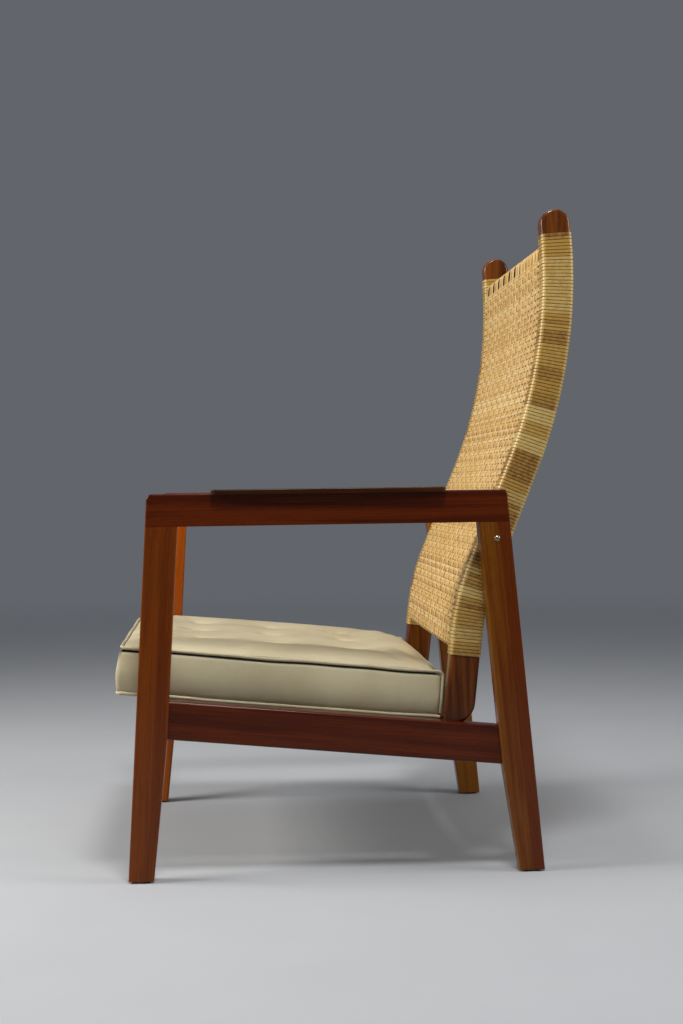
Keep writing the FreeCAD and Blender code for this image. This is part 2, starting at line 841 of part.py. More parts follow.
def welt_tube(points):
    path = welt_path(points)
    start = points[0]
    direction = (points[1] - start).normalize()
    ring = Part.Wire(Part.makeCircle(welt_radius, start, direction))
    return path.makePipeShell([ring], True, False)


def welts():
    """Piping round the top of the sides and down their rear corners, and round the bottom."""
    off = (welt_radius + welt_gap) * math.sqrt(2) - cushion_draw
    x = cushion_half_width + off / 2
    front = -cushion_front_overhang - off / 2
    rear = cushion_length - cushion_front_overhang + off / 2
    low = cushion_seat_gap - off / 2
    high = cushion_seat_gap + cushion_boxing + off / 2
    rear_low = low + welt_radius * 2 + welt_gap * 2
    top = [V(x, rear, rear_low), V(x, rear, high), V(x, front, high),
           V(-x, front, high), V(-x, rear, high), V(-x, rear, rear_low)]
    bottom = [V(x, rear, low), V(x, front, low), V(-x, front, low), V(-x, rear, low)]
    return top, bottom


# Assembly

def build():
    screws, screw_holes = pad_screws()
    straps, clips, grooves = webbing()
    feet = foot_places()
    nail_holes = [nail_hole(place) for place in feet]

    add_pair("front_leg", cut_all(front_leg(), arm_holes + front_holes + front_cross_holes + nail_holes))
    add_pair("rear_leg", cut_all(rear_leg(), arm_holes + rear_holes + nail_holes + [bolt_way]))
    add_pair("arm_rail", cut_all(arm_rail(), arm_holes + screw_holes))
    add_pair("arm_pad", cut_all(arm_pad(), screw_holes))
    add_pair("side_rail", cut_all(side_rail(), front_holes + rear_holes + rear_cross_holes))
    nodes["front_cross_rail"] = cut_all(front_cross_rail(), both_sides(front_cross_holes) + grooves)
    nodes["rear_cross_rail"] = cut_all(
        rear_cross_rail(), both_sides(rear_cross_holes) + both_sides(foot_holes) + grooves)

    post_holes = back_holes + foot_holes + [bolt_way, insert_way]
    add_pair("back_post", cut_all(back_post(), post_holes))
    add_pair("cane_wrap", cut_all(cane_wrap(), back_holes + [bolt_way]))
    nodes["cane_panel"] = cane_panel()
    nodes["back_top_rail"] = cut_all(back_rail(back_top_rail_height), both_sides(back_holes))
    nodes["back_bottom_rail"] = cut_all(back_rail(back_bottom_rail_height), both_sides(back_holes))

    nodes["arm_dowels"] = joined(both_sides(arm_pins))
    nodes["side_rail_dowels"] = joined(both_sides(front_pins + rear_pins))
    nodes["cross_rail_dowels"] = joined(both_sides(front_cross_pins + rear_cross_pins))
    nodes["back_rail_dowels"] = joined(both_sides(back_pins))
    nodes["post_foot_dowels"] = joined(both_sides(foot_pins))
    nodes["pad_screws"] = joined(both_sides(screws))
    nodes["back_bolts"] = joined(both_sides([back_bolt()]))
    nodes["back_spacers"] = joined(both_sides([back_spacer()]))
    nodes["insert_nuts"] = joined(both_sides([insert_nut()]))
    nodes["webbing_straps"] = joined(straps)
    nodes["webbing_clips"] = joined(clips)
    nodes["foot_glides"] = joined(both_sides([foot_glide(place) for place in feet]))
    nodes["glide_nails"] = joined(both_sides([glide_nail(place) for place in feet]))

    outer = cushion_solid(0)
    nodes["cushion_cover"] = on_seat(outer.cut(cushion_solid(cover_thickness)))
    nodes["cushion_foam"] = on_seat(cushion_solid(cover_thickness + foam_gap))
    top_points, bottom_points = welts()
    nodes["cushion_top_welt"] = on_seat(welt_tube(top_points))
    nodes["cushion_bottom_welt"] = on_seat(welt_tube(bottom_points))
    ties = []
    for place in tuft_places():
        seat = place - V(0, 0, tuft_depth - foam_gap)
        ties.append(on_seat(cylinder(tuft_tie_radius, seat, V(0, 0, 1), tuft_tie_height)))
    nodes["tuft_ties"] = joined(ties)


def centre_on_floor():
    """Put the origin on the floor under the middle of the chair."""
    whole = joined(list(nodes.values())).optimalBoundingBox()
    shift = V(0, -(whole.YMin + whole.YMax) / 2, 0)
    for shape in nodes.values():
        shape.translate(shift)
    return shift


build()
shift = centre_on_floor()
os.makedirs("parts", exist_ok=True)
for name, shape in nodes.items():
    shape.exportStep("parts/" + name + ".step")
whole = joined(list(nodes.values())).optimalBoundingBox()
print("nodes", len(nodes), "moved", round(shift.y, 2))
print("size", round(whole.XLength, 1), round(whole.YLength, 1), round(whole.ZLength, 1))
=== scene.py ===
import random
from math import atan2, ceil, copysign, cos, exp, hypot, pi, radians, sin, tan, tau

import bmesh
import bpy
from mathutils import Matrix, Vector


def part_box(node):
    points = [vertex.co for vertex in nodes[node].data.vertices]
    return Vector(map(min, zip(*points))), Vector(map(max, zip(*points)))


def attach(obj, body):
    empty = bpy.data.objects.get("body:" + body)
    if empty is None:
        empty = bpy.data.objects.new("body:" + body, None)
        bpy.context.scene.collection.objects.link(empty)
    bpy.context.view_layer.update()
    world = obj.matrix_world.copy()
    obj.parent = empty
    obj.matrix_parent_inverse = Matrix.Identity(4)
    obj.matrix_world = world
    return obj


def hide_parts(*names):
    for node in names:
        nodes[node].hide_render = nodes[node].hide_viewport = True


# High-backed lounge chair: glossy wooden side frames, a tall back bound and woven in cane,
# and a loose tufted leather cushion. Lengths are in metres.

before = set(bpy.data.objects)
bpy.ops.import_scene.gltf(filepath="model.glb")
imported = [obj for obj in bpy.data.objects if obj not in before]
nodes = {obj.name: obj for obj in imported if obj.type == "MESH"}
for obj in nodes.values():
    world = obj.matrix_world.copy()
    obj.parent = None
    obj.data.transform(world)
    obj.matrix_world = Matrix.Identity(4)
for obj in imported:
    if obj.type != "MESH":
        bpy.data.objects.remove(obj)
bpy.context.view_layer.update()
scene = bpy.context.scene
chance = random.Random(11)

# Seat: where its sloping top starts, and its fall to the rear
arm_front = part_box("arm_rail_left")[0].y
seat_setback = 0.03204
seat_front_height = 0.270
seat_rake_deg = 5.6
seat_origin = Vector((0, arm_front + seat_setback, seat_front_height))
on_seat = Matrix.Translation(seat_origin) @ Matrix.Rotation(-radians(seat_rake_deg), 4, "X")

# Back: each run of the post's middle line, with its length and the lean at its two ends
post_foot_setback = 0.470894
post_foot_height = 0.226607
foot_lean_deg = 6.5
middle_lean_deg = 22.25
top_lean_deg = -5.293
foot_straight = 0.1330
lower_bend = 0.10198
middle_straight = 0.1735
upper_bend = 0.37688
back_foot = (arm_front + post_foot_setback, post_foot_height)
back_runs = ((foot_straight, foot_lean_deg, foot_lean_deg),
             (lower_bend, foot_lean_deg, middle_lean_deg),
             (middle_straight, middle_lean_deg, middle_lean_deg),
             (upper_bend, middle_lean_deg, top_lean_deg))
post_half_depth = 0.0230
post_half_width = 0.015
post_corner = 0.005
post_outer = 0.29285
post_middle = post_outer - post_half_width
post_splay_deg = 1.0
splay_height = 0.390

# Cane binding: flat turns, counted up the back from the foot of the post
binding_start = 0.1000
binding_end = 0.7752
turn_pitch = 0.0052
turn_width = 0.0050
turn_rise = 0.0015
turn_bed = 0.0001
turn_crown_share = 0.95
turn_shoulder_share = 0.72
turn_tilt = 0.0004
turn_swell_shares = (0.92, 1.06)
turn_length = 0.15
new_strip_share = 0.42
corner_steps = 3
ring_steps = 4 * (corner_steps + 1)

# Woven panel: pairs of strands across, and pairs up that go round the rails of the back
weave_start = 0.1190
weave_end = 0.7330
weave_depth = 0.00155
bound_half_depth = 0.02465
weave_middle = weave_depth - bound_half_depth
weave_wave = 0.00060
row_pitch = turn_pitch * 2
row_count = int((weave_end - weave_start) / row_pitch)
row_first = ceil((weave_start - binding_start) / row_pitch)
strand_length = 0.6
strand_full_share = 1.15
across_share = 0.7
weft_width = 0.0050
weft_spread = 0.00245
weft_thickness = 0.0010
weft_tuck = 0.0055
weft_steps = 116
warp_width = 0.0049
warp_spread = 0.0026
warp_thickness = 0.0009
warp_last = 9
warp_margin = 0.0165
warp_tail = 0.014
warp_overrun = 0.004
warp_fade = 0.006
warp_wave_power = 0.6
warp_steps_per_row = 3

# Where the strands across dip under the binding, and where their pairs are drawn together
tuck_inset = 0.020
tuck_run = 0.012
post_pinch_inset = 0.0125
post_pinch_spread = 0.0065
left_pinch_share = 0.80
right_pinch_share = 0.35
pinch_lift = 0.0005
pinch_power = 6
loose_from = 0.06
loose_run = 0.17
loose_low = 0.30
loose_low_run = 0.10
loose_high = 0.715
loose_high_run = 0.05
least_loose_share = 0.10
added_loose_share = 0.48

# Rails of the back, and the cane that goes round them
rail_front = -0.0220
rail_back = 0.0002
rail_half_height = 0.0132
rail_top_middle = 0.7393
rail_low_middle = 0.1262
rail_corner_cut = 0.002
rail_turn_width = 0.0051
slot_reach = 0.060
top_turn = 0.7464
low_turn = 0.1181
turn_reach = 0.0112
turn_steps = 7
top_slant = 0.013
slant_lead = 0.010

# Cushion, drawn flat before it is laid on the seat
cushion_half_width = 0.280
cushion_front = -0.0847
cushion_rear = 0.4151
cushion_low = 0.0003
cushion_high = 0.0718
cushion_tall = cushion_high - cushion_low
seat_sag = 0.0012
sag_from = 0.004
sag_to = 0.396
sag_run = 0.06

# Cushion's faces: even cuts, with the columns then spaced wide in the middle and narrow by the sides
cuts_across = 83
cuts_along = 75
cuts_up = 15
inner_share = 24 / 42
inner_width = 0.210
touch = 1e-5
level_ease_share = 0.75

# Cushion's crown: a quick rise by the seams, a slow one over the top, and a fall to the rear
cushion_crown = 0.0145
lip_share = 0.34
lip_run = 0.030
dome_share = 0.66
dome_start = 0.008
dome_run = 0.080
front_crown_share = 0.86
front_crown_run = 0.33
rear_fall_run = 0.070
rear_fall_power = 1.4
rear_roll_run = 0.030
rear_drop = 0.010
rear_lean = 0.010
rear_lean_share = 0.45

# Cushion's sides and seams
seam_draw = 0.0055
seam_drop = seam_draw * 0.5
groove_height = 0.0042
groove_reach = groove_height * 2
# Height under the top seam that gets painted shadow
seam_shadow_height = groove_height * 1.1
low_draw = 0.0030
side_lean = 0.0050
front_lean = 0.0035
low_lean = 0.0030
lean_above_share = 0.30
lean_below_share = 0.45
side_swell = 0.0016
front_swell = 0.0010
corner_tuck = 0.0016

# Wander of a sewn edge: the height of each wave, its turn in radians for each metre, and its start
seam_waves_up = ((0.0006, 29.0, 0.7), (0.0003, 61.0, 2.1))
seam_waves_out = ((0.0006, 37.0, 1.4),)

# Tufts
tuft_columns = (-0.140, 0.0, 0.140)
tuft_rows = (0.0313, 0.1542, 0.2772)
tuft_places = [(column, row) for column in tuft_columns for row in tuft_rows]
tuft_depth = 0.0135
tuft_spread = 0.016
tuft_power = 1.5
tuft_hold = 0.0065
pull_depth = 0.0032
pull_spread = 0.0055
fold_height = 0.0011
fold_reach = 0.021
fold_start = 0.010
folds_each = 5
fold_turn = 1.3

# Stuffing: how far it pushes the cover, and how the cover gives as a cloth under pressure
stuffing_reach = 0.009
side_slack_share = 0.35
seam_slack_share = 0.2
middle_slack_share = 0.8
slack_start = 0.020
slack_run = 0.100
stuffing_frames = 20
cover_cloth = {
    "quality": 6, "mass": 0.25, "tension_stiffness": 22, "compression_stiffness": 18,
    "shear_stiffness": 8, "bending_stiffness": 1.2, "use_pressure": True, "uniform_pressure_force": 4.0}

# Welts and stitches
top_welt_radius = 0.0024
low_welt_radius = 0.0031
welt_inset = 0.0014
top_welt_drop = 0.0008
welt_bend = 0.009
welt_bend_steps = 6
welt_pitch = 0.008
welt_front_reach = 0.005
welt_top_reach = 0.001
welt_side_power = 20
stitch_pitch = 0.0042
stitch_size = (0.00055, 0.00055, 0.0015, 1)
stitch_inset = 0.0010
stitch_offset = 0.0030
stitch_start = 0.008
stitch_ends = 0.014

# Webbing
strap_places = (-0.196, -0.098, 0.0, 0.098, 0.196)
strap_width = 0.050
strap_thickness = 0.003
strap_front = -0.027
strap_rear = 0.4152
strap_edge = 0.0009
strap_cuts = 24
long_edge = 0.1

# Floor and backdrop
floor_radius = 14.0
floor_fade_from = 1.2
floor_fade_to = 6.5
backdrop_grey = (0.122, 0.131, 0.146, 1)


def ease(distance, run):
    """Smooth rise from nought to one over a run."""
    share = max(0.0, min(1.0, distance / run))
    return share * share * (3 - 2 * share)


def mixed(a, b, share):
    return a + (b - a) * share


# Node trees

class Board:
    """A node tree, with short ways to add nodes and join them."""

    def __init__(self, tree):
        self.tree = tree

    def put(self, kind, sockets=None, **settings):
        """Add a node, whose sockets take either another node's output or a plain value."""
        node = self.tree.nodes.new("ShaderNode" + kind)
        for key, value in settings.items():
            setattr(node, key, value)
        for key, value in (sockets or {}).items():
            if isinstance(value, bpy.types.NodeSocket):
                self.tree.links.new(value, node.inputs[key])
            else:
                node.inputs[key].default_value = value
        return node

    def join(self, *pairs):
        for source, sink in pairs:
            self.tree.links.new(source, sink)

    def noise(self, vector, scale, detail=3.0, roughness=0.5, distortion=0.0):
        node = self.put("TexNoise", {"Vector": vector, "Scale": scale, "Detail": detail,
                                     "Roughness": roughness, "Distortion": distortion})
        return node.outputs["Fac"]

    def math(self, operation, a, b, clamp=False):
        return self.put("Math", {0: a, 1: b}, operation=operation, use_clamp=clamp).outputs[0]

    def times(self, a, b):
        return self.math("MULTIPLY", a, b)

    def line(self, value, gain, base):
        """Value times a gain, plus a base."""
        return self.put("Math", {0: value, 1: gain, 2: base}, operation="MULTIPLY_ADD").outputs[0]

    def stretch(self, vector, factors):
        return self.put("VectorMath", {0: vector, 1: factors}, operation="MULTIPLY").outputs[0]

    def band(self, value, low, high):
        """Nought below low, one above high."""
        return self.put("MapRange", {"Value": value, "From Min": low, "From Max": high},
                        interpolation_type="SMOOTHSTEP").outputs["Result"]

    def blend(self, share, a, b, kind="MIX"):
        """Mix of two colours, whose sockets are the node's seventh and eighth."""
        sockets = {"Factor": share, 6: a, 7: b}
        return self.put("Mix", sockets, data_type="RGBA", blend_type=kind).outputs[2]

    def bump(self, height, strength, distance):
        sockets = {"Height": height, "Strength": strength, "Distance": distance}
        return self.put("Bump", sockets).outputs["Normal"]

    def placed(self, group, sockets):
        """Place a node group and give its outputs."""
        return self.put("Group", sockets, node_tree=group).outputs


def new_group(name, outputs, **inputs):
    """Node group with its sockets, each a label and a kind."""
    tree = bpy.data.node_groups.new(name, "ShaderNodeTree")
    for way, sockets in (("INPUT", inputs), ("OUTPUT", outputs)):
        for label, kind in sockets.items():
            tree.interface.new_socket(label, in_out=way, socket_type="NodeSocket" + kind)
    source = tree.nodes.new("NodeGroupInput")
    sink = tree.nodes.new("NodeGroupOutput")
    return Board(tree), source.outputs, sink.inputs


skin_outputs = {"Color": "Color", "Roughness": "Float", "Height": "Float"}


def wood_figure_group():
    """Straight-grained wood with its grain along Z: broad ribbons, fine fibres and short pores."""
    board, given, out = new_group(
        "wood_figure", skin_outputs, Vector="Vector", Pale="Color", Deep="Color", Pore="Color", Heart="Float")
    place = given["Vector"]
    ribbons = board.noise(board.stretch(place, (1.0, 1.0, 0.045)), 62.0, 4.0, 0.55, distortion=0.5)
    fibres = board.noise(board.stretch(place, (1.0, 1.0, 0.012)), 820.0, 4.0, 0.65)
    flecks = board.noise(board.stretch(place, (1.0, 1.0, 0.06)), 1500.0, 2.0)
    share = board.math("ADD", board.band(ribbons, 0.34, 0.66), given["Heart"], clamp=True)
    body = board.blend(share, given["Pale"], given["Deep"])
    streaked = board.blend(0.75, body, board.line(fibres, gain=0.9, base=0.55), "MULTIPLY")
    pores = board.band(flecks, 0.60, 0.72)
    colour = board.blend(board.times(pores, 0.55), streaked, given["Pore"])
    roughness = board.line(fibres, gain=0.16, base=0.20)
    height = board.math("SUBTRACT", fibres, pores)
    board.join((colour, out["Color"]), (roughness, out["Roughness"]), (height, out["Height"]))
    return board.tree


def cane_strand_group():
    """Split cane: a tone for each strand, with blotches, fine ribs and an odd dark knot along it, and a
    painted highlight on the turns at a post's corners, where the Bend mask is set.
    """
    board, given, out = new_group(
        "cane_strand", skin_outputs, Strand="Vector", Bend="Float",
        Cream="Color", Gold="Color", Brown="Color")
    cream, gold, brown = given["Cream"], given["Gold"], given["Brown"]
    along, across, count = board.put("SeparateXYZ", {0: given["Strand"]}).outputs
    tone = board.put("TexWhiteNoise", {"W": count}, noise_dimensions="1D").outputs["Value"]
    lane = board.times(count, 3.7)
    place = board.put("CombineXYZ", {0: along, 1: lane, 2: 0.0}).outputs[0]
    rib_place = board.put("CombineXYZ", {0: along, 1: board.times(across, 0.11), 2: lane}).outputs[0]
    blotch = board.noise(place, 42.0, 3.0, 0.6)
    ribs = board.noise(board.stretch(rib_place, (0.03, 1.0, 1.0)), 60.0, 2.0)
    knots = board.band(board.noise(place, 95.0, 1.0), 0.735, 0.79)
    mixed_tone = board.math("ADD", board.times(tone, 0.62), board.times(blotch, 0.42))
    darker = board.blend(board.band(mixed_tone, 0.16, 0.44), brown, gold)
    paler = board.blend(board.band(mixed_tone, 0.52, 0.86), darker, cream)
    streaked = board.blend(board.times(ribs, 0.35), paler, brown)
    marked = board.blend(board.times(knots, 0.75), streaked, brown, "MULTIPLY")
    # Painted highlight: the turns go towards cream where they round a post's corners
    colour = board.blend(board.times(given["Bend"], 0.7), marked, cream)
    roughness = board.line(blotch, gain=0.25, base=0.26)
    board.join((colour, out["Color"]), (roughness, out["Roughness"]), (ribs, out["Height"]))
    return board.tree


# Painted shadow: a near-black colour laid along the cushion's seams, standing in for the shade in the groove
# under the welts.
painted_seam_shadow = (0.030, 0.022, 0.010, 1)


def leather_grain_group():
    """Finely pebbled leather: soft cloudy tone, darker folds between the pebbles, and a painted shadow line
    along the seams, where the welt shades the groove under it.
    """
    board, given, out = new_group(
        "leather_grain", skin_outputs, Vector="Vector", Pale="Color", Deep="Color", Seam="Float")
    place = given["Vector"]
    cells = board.put("TexVoronoi", {"Vector": place, "Scale": 620.0}, feature="DISTANCE_TO_EDGE")
    pebble = board.band(cells.outputs["Distance"], 0.0, 0.16)
    clouds = board.noise(place, 9.0, 4.0, 0.55)
    pits = board.noise(place, 1900.0, 2.0)
    body = board.blend(board.band(clouds, 0.30, 0.70), given["Deep"], given["Pale"])
    grained = board.blend(board.line(pebble, gain=-0.22, base=0.22), body, given["Deep"], "MULTIPLY")
    # Painted shadow along the seams, wherever the seam mask is set
    colour = board.blend(board.times(given["Seam"], 0.9), grained, painted_seam_shadow)
    roughness = board.line(clouds, gain=0.16, base=0.33)
    height = board.math("ADD", pebble, board.times(pits, 0.35))
    board.join((colour, out["Color"]), (roughness, out["Roughness"]), (height, out["Height"]))
    return board.tree


def wear_specks_group():
    """Scuffs and specks for small fittings: a cloudy mask and fine scratches."""
    masks = {"Cloud": "Float", "Scratch": "Float"}
    board, given, out = new_group("wear_specks", masks, Vector="Vector", Scale="Float")
    scaled = board.put("VectorMath", {0: given["Vector"], "Scale": given["Scale"]}, operation="SCALE")
    place = scaled.outputs[0]
    cloud = board.noise(place, 1.0, 4.0, 0.6)
    scratch = board.noise(board.stretch(place, (6.0, 6.0, 0.4)), 1.0, 3.0, 0.7)
    board.join((cloud, out["Cloud"]), (scratch, out["Scratch"]))
    return board.tree


wood_figure = wood_figure_group()
cane_strand = cane_strand_group()
leather_grain = leather_grain_group()
wear_specks = wear_specks_group()


# Materials

def new_material(name):
    material = bpy.data.materials.new(name)
    material.use_nodes = True
    material.node_tree.nodes.clear()
    board = Board(material.node_tree)
    shader = board.put("BsdfPrincipled")
    surface = board.put("OutputMaterial")
    board.join((shader.outputs[0], surface.inputs[0]))
    return material, board, shader


def object_place(board, turn_deg=(0, 0, 0), shift=(0, 0, 0)):
    """Place on the piece, turned so that its grain runs along Z."""
    source = board.put("TexCoord").outputs["Object"]
    turn = [radians(angle) for angle in turn_deg]
    return board.put("Mapping", {"Vector": source, "Rotation": turn, "Location": shift}).outputs[0]


def dress(board, shader, skin, bump, values, relief=0.0004):
    """Give a shader its skin's colour, roughness and relief, and its own plain values."""
    normal = board.bump(skin["Height"], bump, relief)
    board.join((skin["Color"], shader.inputs["Base Color"]),
               (skin["Roughness"], shader.inputs["Roughness"]), (normal, shader.inputs["Normal"]))
    for key, value in values.items():
        shader.inputs[key].default_value = value


def wood(name, pale, deep, turn_deg=(0, 0, 0), shift=(0, 0, 0), heart=None, coat=0.18, gloss=0.10):
    """Wood under a coat of lacquer. Where heart is given, it goes deep between those two depths."""
    material, board, shader = new_material(name)
    place = object_place(board, turn_deg, shift)
    pore = [channel * 0.25 for channel in deep[:3]] + [1.0]
    sockets = {"Vector": place, "Pale": pale, "Deep": deep, "Pore": pore}
    if heart:
        depth = board.put("SeparateXYZ", {0: place}).outputs[1]
        sockets["Heart"] = board.band(depth, *heart)
    dress(board, shader, board.placed(wood_figure, sockets), 0.12,
          {"Specular IOR Level": 0.12, "Coat Weight": coat, "Coat Roughness": gloss})
    return material


def cane(name, cream, gold, brown):
    material, board, shader = new_material(name)
    strand = board.put("Attribute", attribute_name="strand").outputs["Vector"]
    # Mask of the painted highlight on the binding's corners
    corner_highlight = board.put("Attribute", attribute_name="corner_highlight").outputs["Fac"]
    sockets = {"Strand": strand, "Bend": corner_highlight, "Cream": cream, "Gold": gold, "Brown": brown}
    dress(board, shader, board.placed(cane_strand, sockets), 0.25, {"Specular IOR Level": 0.55})
    return material


def leather(name, pale, deep):
    material, board, shader = new_material(name)
    # The seam mask marks where the painted seam shadow goes
    seam = board.put("Attribute", attribute_name="seam").outputs["Fac"]
    sockets = {"Vector": object_place(board), "Pale": pale, "Deep": deep, "Seam": seam}
    dress(board, shader, board.placed(leather_grain, sockets), 0.18,
          {"Specular IOR Level": 0.45, "Sheen Weight": 0.05})
    return material


def fitting(name, bright, dull, metallic, roughness, scale, bump):
    """Finish for small fittings, from polished steel to moulded plastic."""
    material, board, shader = new_material(name)
    wear = board.placed(wear_specks, {"Vector": object_place(board), "Scale": scale})
    skin = {"Color": board.blend(board.band(wear["Cloud"], 0.35, 0.7), bright, dull),
            "Roughness": board.line(wear["Scratch"], gain=0.25, base=roughness),
            "Height": wear["Scratch"]}
    dress(board, shader, skin, bump, {"Metallic": metallic}, relief=0.0003)
    return material


def webbing_weave(name, light, dark):
    """Ribbed rubber webbing: cords along the strap crossed by fine ribs."""
    material, board, shader = new_material(name)
    place = object_place(board, (seat_rake_deg, 0, 0))

    def waves(direction, scale, distortion):
        sockets = {"Vector": place, "Scale": scale, "Distortion": distortion, "Detail": 1.0}
        return board.put("TexWave", sockets, wave_type="BANDS", bands_direction=direction).outputs["Fac"]

    weave = board.times(waves("X", 130.0, 0.6), waves("Y", 210.0, 0.5))
    cloud = board.placed(wear_specks, {"Vector": place, "Scale": 90.0})["Cloud"]
    skin = {"Color": board.blend(board.times(board.math("ADD", weave, cloud), 0.55), dark, light),
            "Roughness": board.line(cloud, gain=0.2, base=0.6),
            "Height": weave}
    dress(board, shader, skin, 0.6, {}, relief=0.0008)
    return material


orange_brown = (0.178, 0.037, 0.0012, 1)
red_brown = (0.112, 0.0200, 0.0008, 1)
olive_brown = (0.180, 0.060, 0.003, 1)
# Lighter copies of the leg colours for the far legs: painted light, standing in for the stronger light on
# their inner faces
lit_olive = (0.25, 0.085, 0.006, 1)
lit_tan_brown = (0.18, 0.053, 0.003, 1)
lit_orange = (0.40, 0.090, 0.004, 1)
lit_red = (0.28, 0.055, 0.002, 1)
arm_red = (0.108, 0.0155, 0.0005, 1)
arm_deep = (0.056, 0.0068, 0.0003, 1)
post_red = (0.168, 0.046, 0.005, 1)
post_deep = (0.060, 0.013, 0.0012, 1)
rail_brown = (0.060, 0.017, 0.004, 1)
rail_deep = (0.026, 0.007, 0.002, 1)
pad_brown = (0.058, 0.018, 0.004, 1)
pad_deep = (0.027, 0.008, 0.002, 1)
pale_beech = (0.55, 0.36, 0.18, 1)
deep_beech = (0.42, 0.25, 0.11, 1)

# Turns that lay the grain along each piece
front_leg_turn = (3.5, 0, 0)
rear_leg_turn = (-5.1, 0, 0)
front_to_back = (90, 0, 0)
side_rail_turn = (90 + seat_rake_deg, 0, 0)
side_to_side = (0, -90, 0)

# Depth at which the rear leg's board goes from pale to dark
rear_leg_heart = (0.2728, 0.2742)

weave_cane = cane("weave_cane", cream=(0.76, 0.57, 0.270, 1), gold=(0.66, 0.418, 0.137, 1),
                  brown=(0.45, 0.245, 0.075, 1))
binding_cane = cane("binding_cane", cream=(0.62, 0.450, 0.160, 1), gold=(0.44, 0.255, 0.048, 1),
                    brown=(0.18, 0.076, 0.013, 1))
cover_leather = leather("cover_leather", pale=(0.565, 0.498, 0.318, 1), deep=(0.480, 0.412, 0.252, 1))
welt_leather = leather("welt_leather", pale=(0.550, 0.482, 0.305, 1), deep=(0.440, 0.378, 0.230, 1))
thread = fitting("thread", bright=(0.55, 0.48, 0.33, 1), dull=(0.40, 0.33, 0.21, 1),
                 metallic=0.0, roughness=0.6, scale=900.0, bump=0.3)
strap_webbing = webbing_weave("strap_webbing", light=(0.30, 0.21, 0.12, 1), dark=(0.10, 0.065, 0.035, 1))


def finish(material, *names):
    """Give CAD nodes their material."""
    for name in names:
        mesh = nodes[name].data
        mesh.materials.clear()
        mesh.materials.append(material)


def pair(name):
    return name + "_left", name + "_right"


finish(wood("front_leg_wood", orange_brown, red_brown, front_leg_turn), "front_leg_left")
# Far front leg: the same wood, with painted light in its lighter colours
finish(wood("lit_far_leg_wood", lit_orange, lit_red, front_leg_turn, (0.6, 0.3, 0)), "front_leg_right")
finish(wood("rear_leg_wood", olive_brown, red_brown, rear_leg_turn, heart=rear_leg_heart), "rear_leg_left")
# Far rear leg: the same wood, with painted light in its lighter colours
finish(wood("lit_far_rear_wood", lit_olive, lit_tan_brown, rear_leg_turn, (0.5, 0, 0)), "rear_leg_right")
finish(wood("arm_wood", arm_red, arm_deep, front_to_back, (0.3, 0.2, 0)), *pair("arm_rail"))
finish(wood("side_rail_wood", arm_red, arm_deep, side_rail_turn, (0.1, 0.7, 0)), *pair("side_rail"))
finish(wood("cross_rail_wood", orange_brown, red_brown, side_to_side), "front_cross_rail", "rear_cross_rail")
finish(wood("pad_wood", pad_brown, pad_deep, front_to_back, (0.7, 0.1, 0), coat=0.06, gloss=0.2),
       *pair("arm_pad"))
finish(wood("post_wood", post_red, post_deep, shift=(0.2, 0.9, 0), coat=0.35, gloss=0.06),
       *pair("back_post"))
finish(wood("back_rail_wood", rail_brown, rail_deep, side_to_side, (0.4, 0.4, 0)),
       "back_top_rail", "back_bottom_rail")
finish(wood("dowel_wood", pale_beech, deep_beech, front_to_back, coat=0.0, gloss=0.4),
       "arm_dowels", "side_rail_dowels", "cross_rail_dowels", "back_rail_dowels", "post_foot_dowels")
finish(fitting("dull_steel", bright=(0.50, 0.49, 0.47, 1), dull=(0.36, 0.34, 0.31, 1),
               metallic=1.0, roughness=0.32, scale=300.0, bump=0.1),
       "back_spacers", "pad_screws", "insert_nuts", "webbing_clips", "glide_nails")
finish(fitting("dark_bolt", bright=(0.30, 0.26, 0.19, 1), dull=(0.15, 0.13, 0.09, 1),
               metallic=1.0, roughness=0.22, scale=300.0, bump=0.1), "back_bolts")
finish(fitting("dark_glide", bright=(0.030, 0.026, 0.024, 1), dull=(0.055, 0.048, 0.042, 1),
               metallic=0.0, roughness=0.42, scale=260.0, bump=0.2), "foot_glides")


# Modelling helpers

def piece(name, mesh, material, body, stands_for=(), sharp_deg=50):
    """Make a mesh a piece of the chair that rides on a body and stands for CAD nodes."""
    mesh.name = name
    mesh.polygons.foreach_set("use_smooth", [True] * len(mesh.polygons))
    mesh.set_sharp_from_angle(angle=radians(sharp_deg))
    mesh.materials.append(material)
    made = bpy.data.objects.new(name, mesh)
    scene.collection.objects.link(made)
    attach(made, body)
    if stands_for:
        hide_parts(*stands_for)
    return made


def mesh_of(bm, turned_out=False):
    """Mesh of a shape, with its faces turned outwards unless they are already."""
    mesh = bpy.data.meshes.new("shape")
    if not turned_out:
        bm.normal_update()
        bmesh.ops.recalc_face_normals(bm, faces=bm.faces)
    bm.to_mesh(mesh)
    bm.free()
    return mesh


def tube(points, radius):
    """Round tube along a run of points, as a mesh."""
    curve = bpy.data.curves.new("run", "CURVE")
    curve.dimensions = "3D"
    curve.bevel_depth = radius
    curve.bevel_resolution = 3
    curve.use_fill_caps = True
    spline = curve.splines.new("POLY")
    spline.points.add(len(points) - 1)
    for point, place in zip(spline.points, points):
        point.co = (*place, 1)
    holder = bpy.data.objects.new("run", curve)
    mesh = bpy.data.meshes.new_from_object(holder)
    bpy.data.objects.remove(holder)
    bpy.data.curves.remove(curve)
    return mesh


# Cane

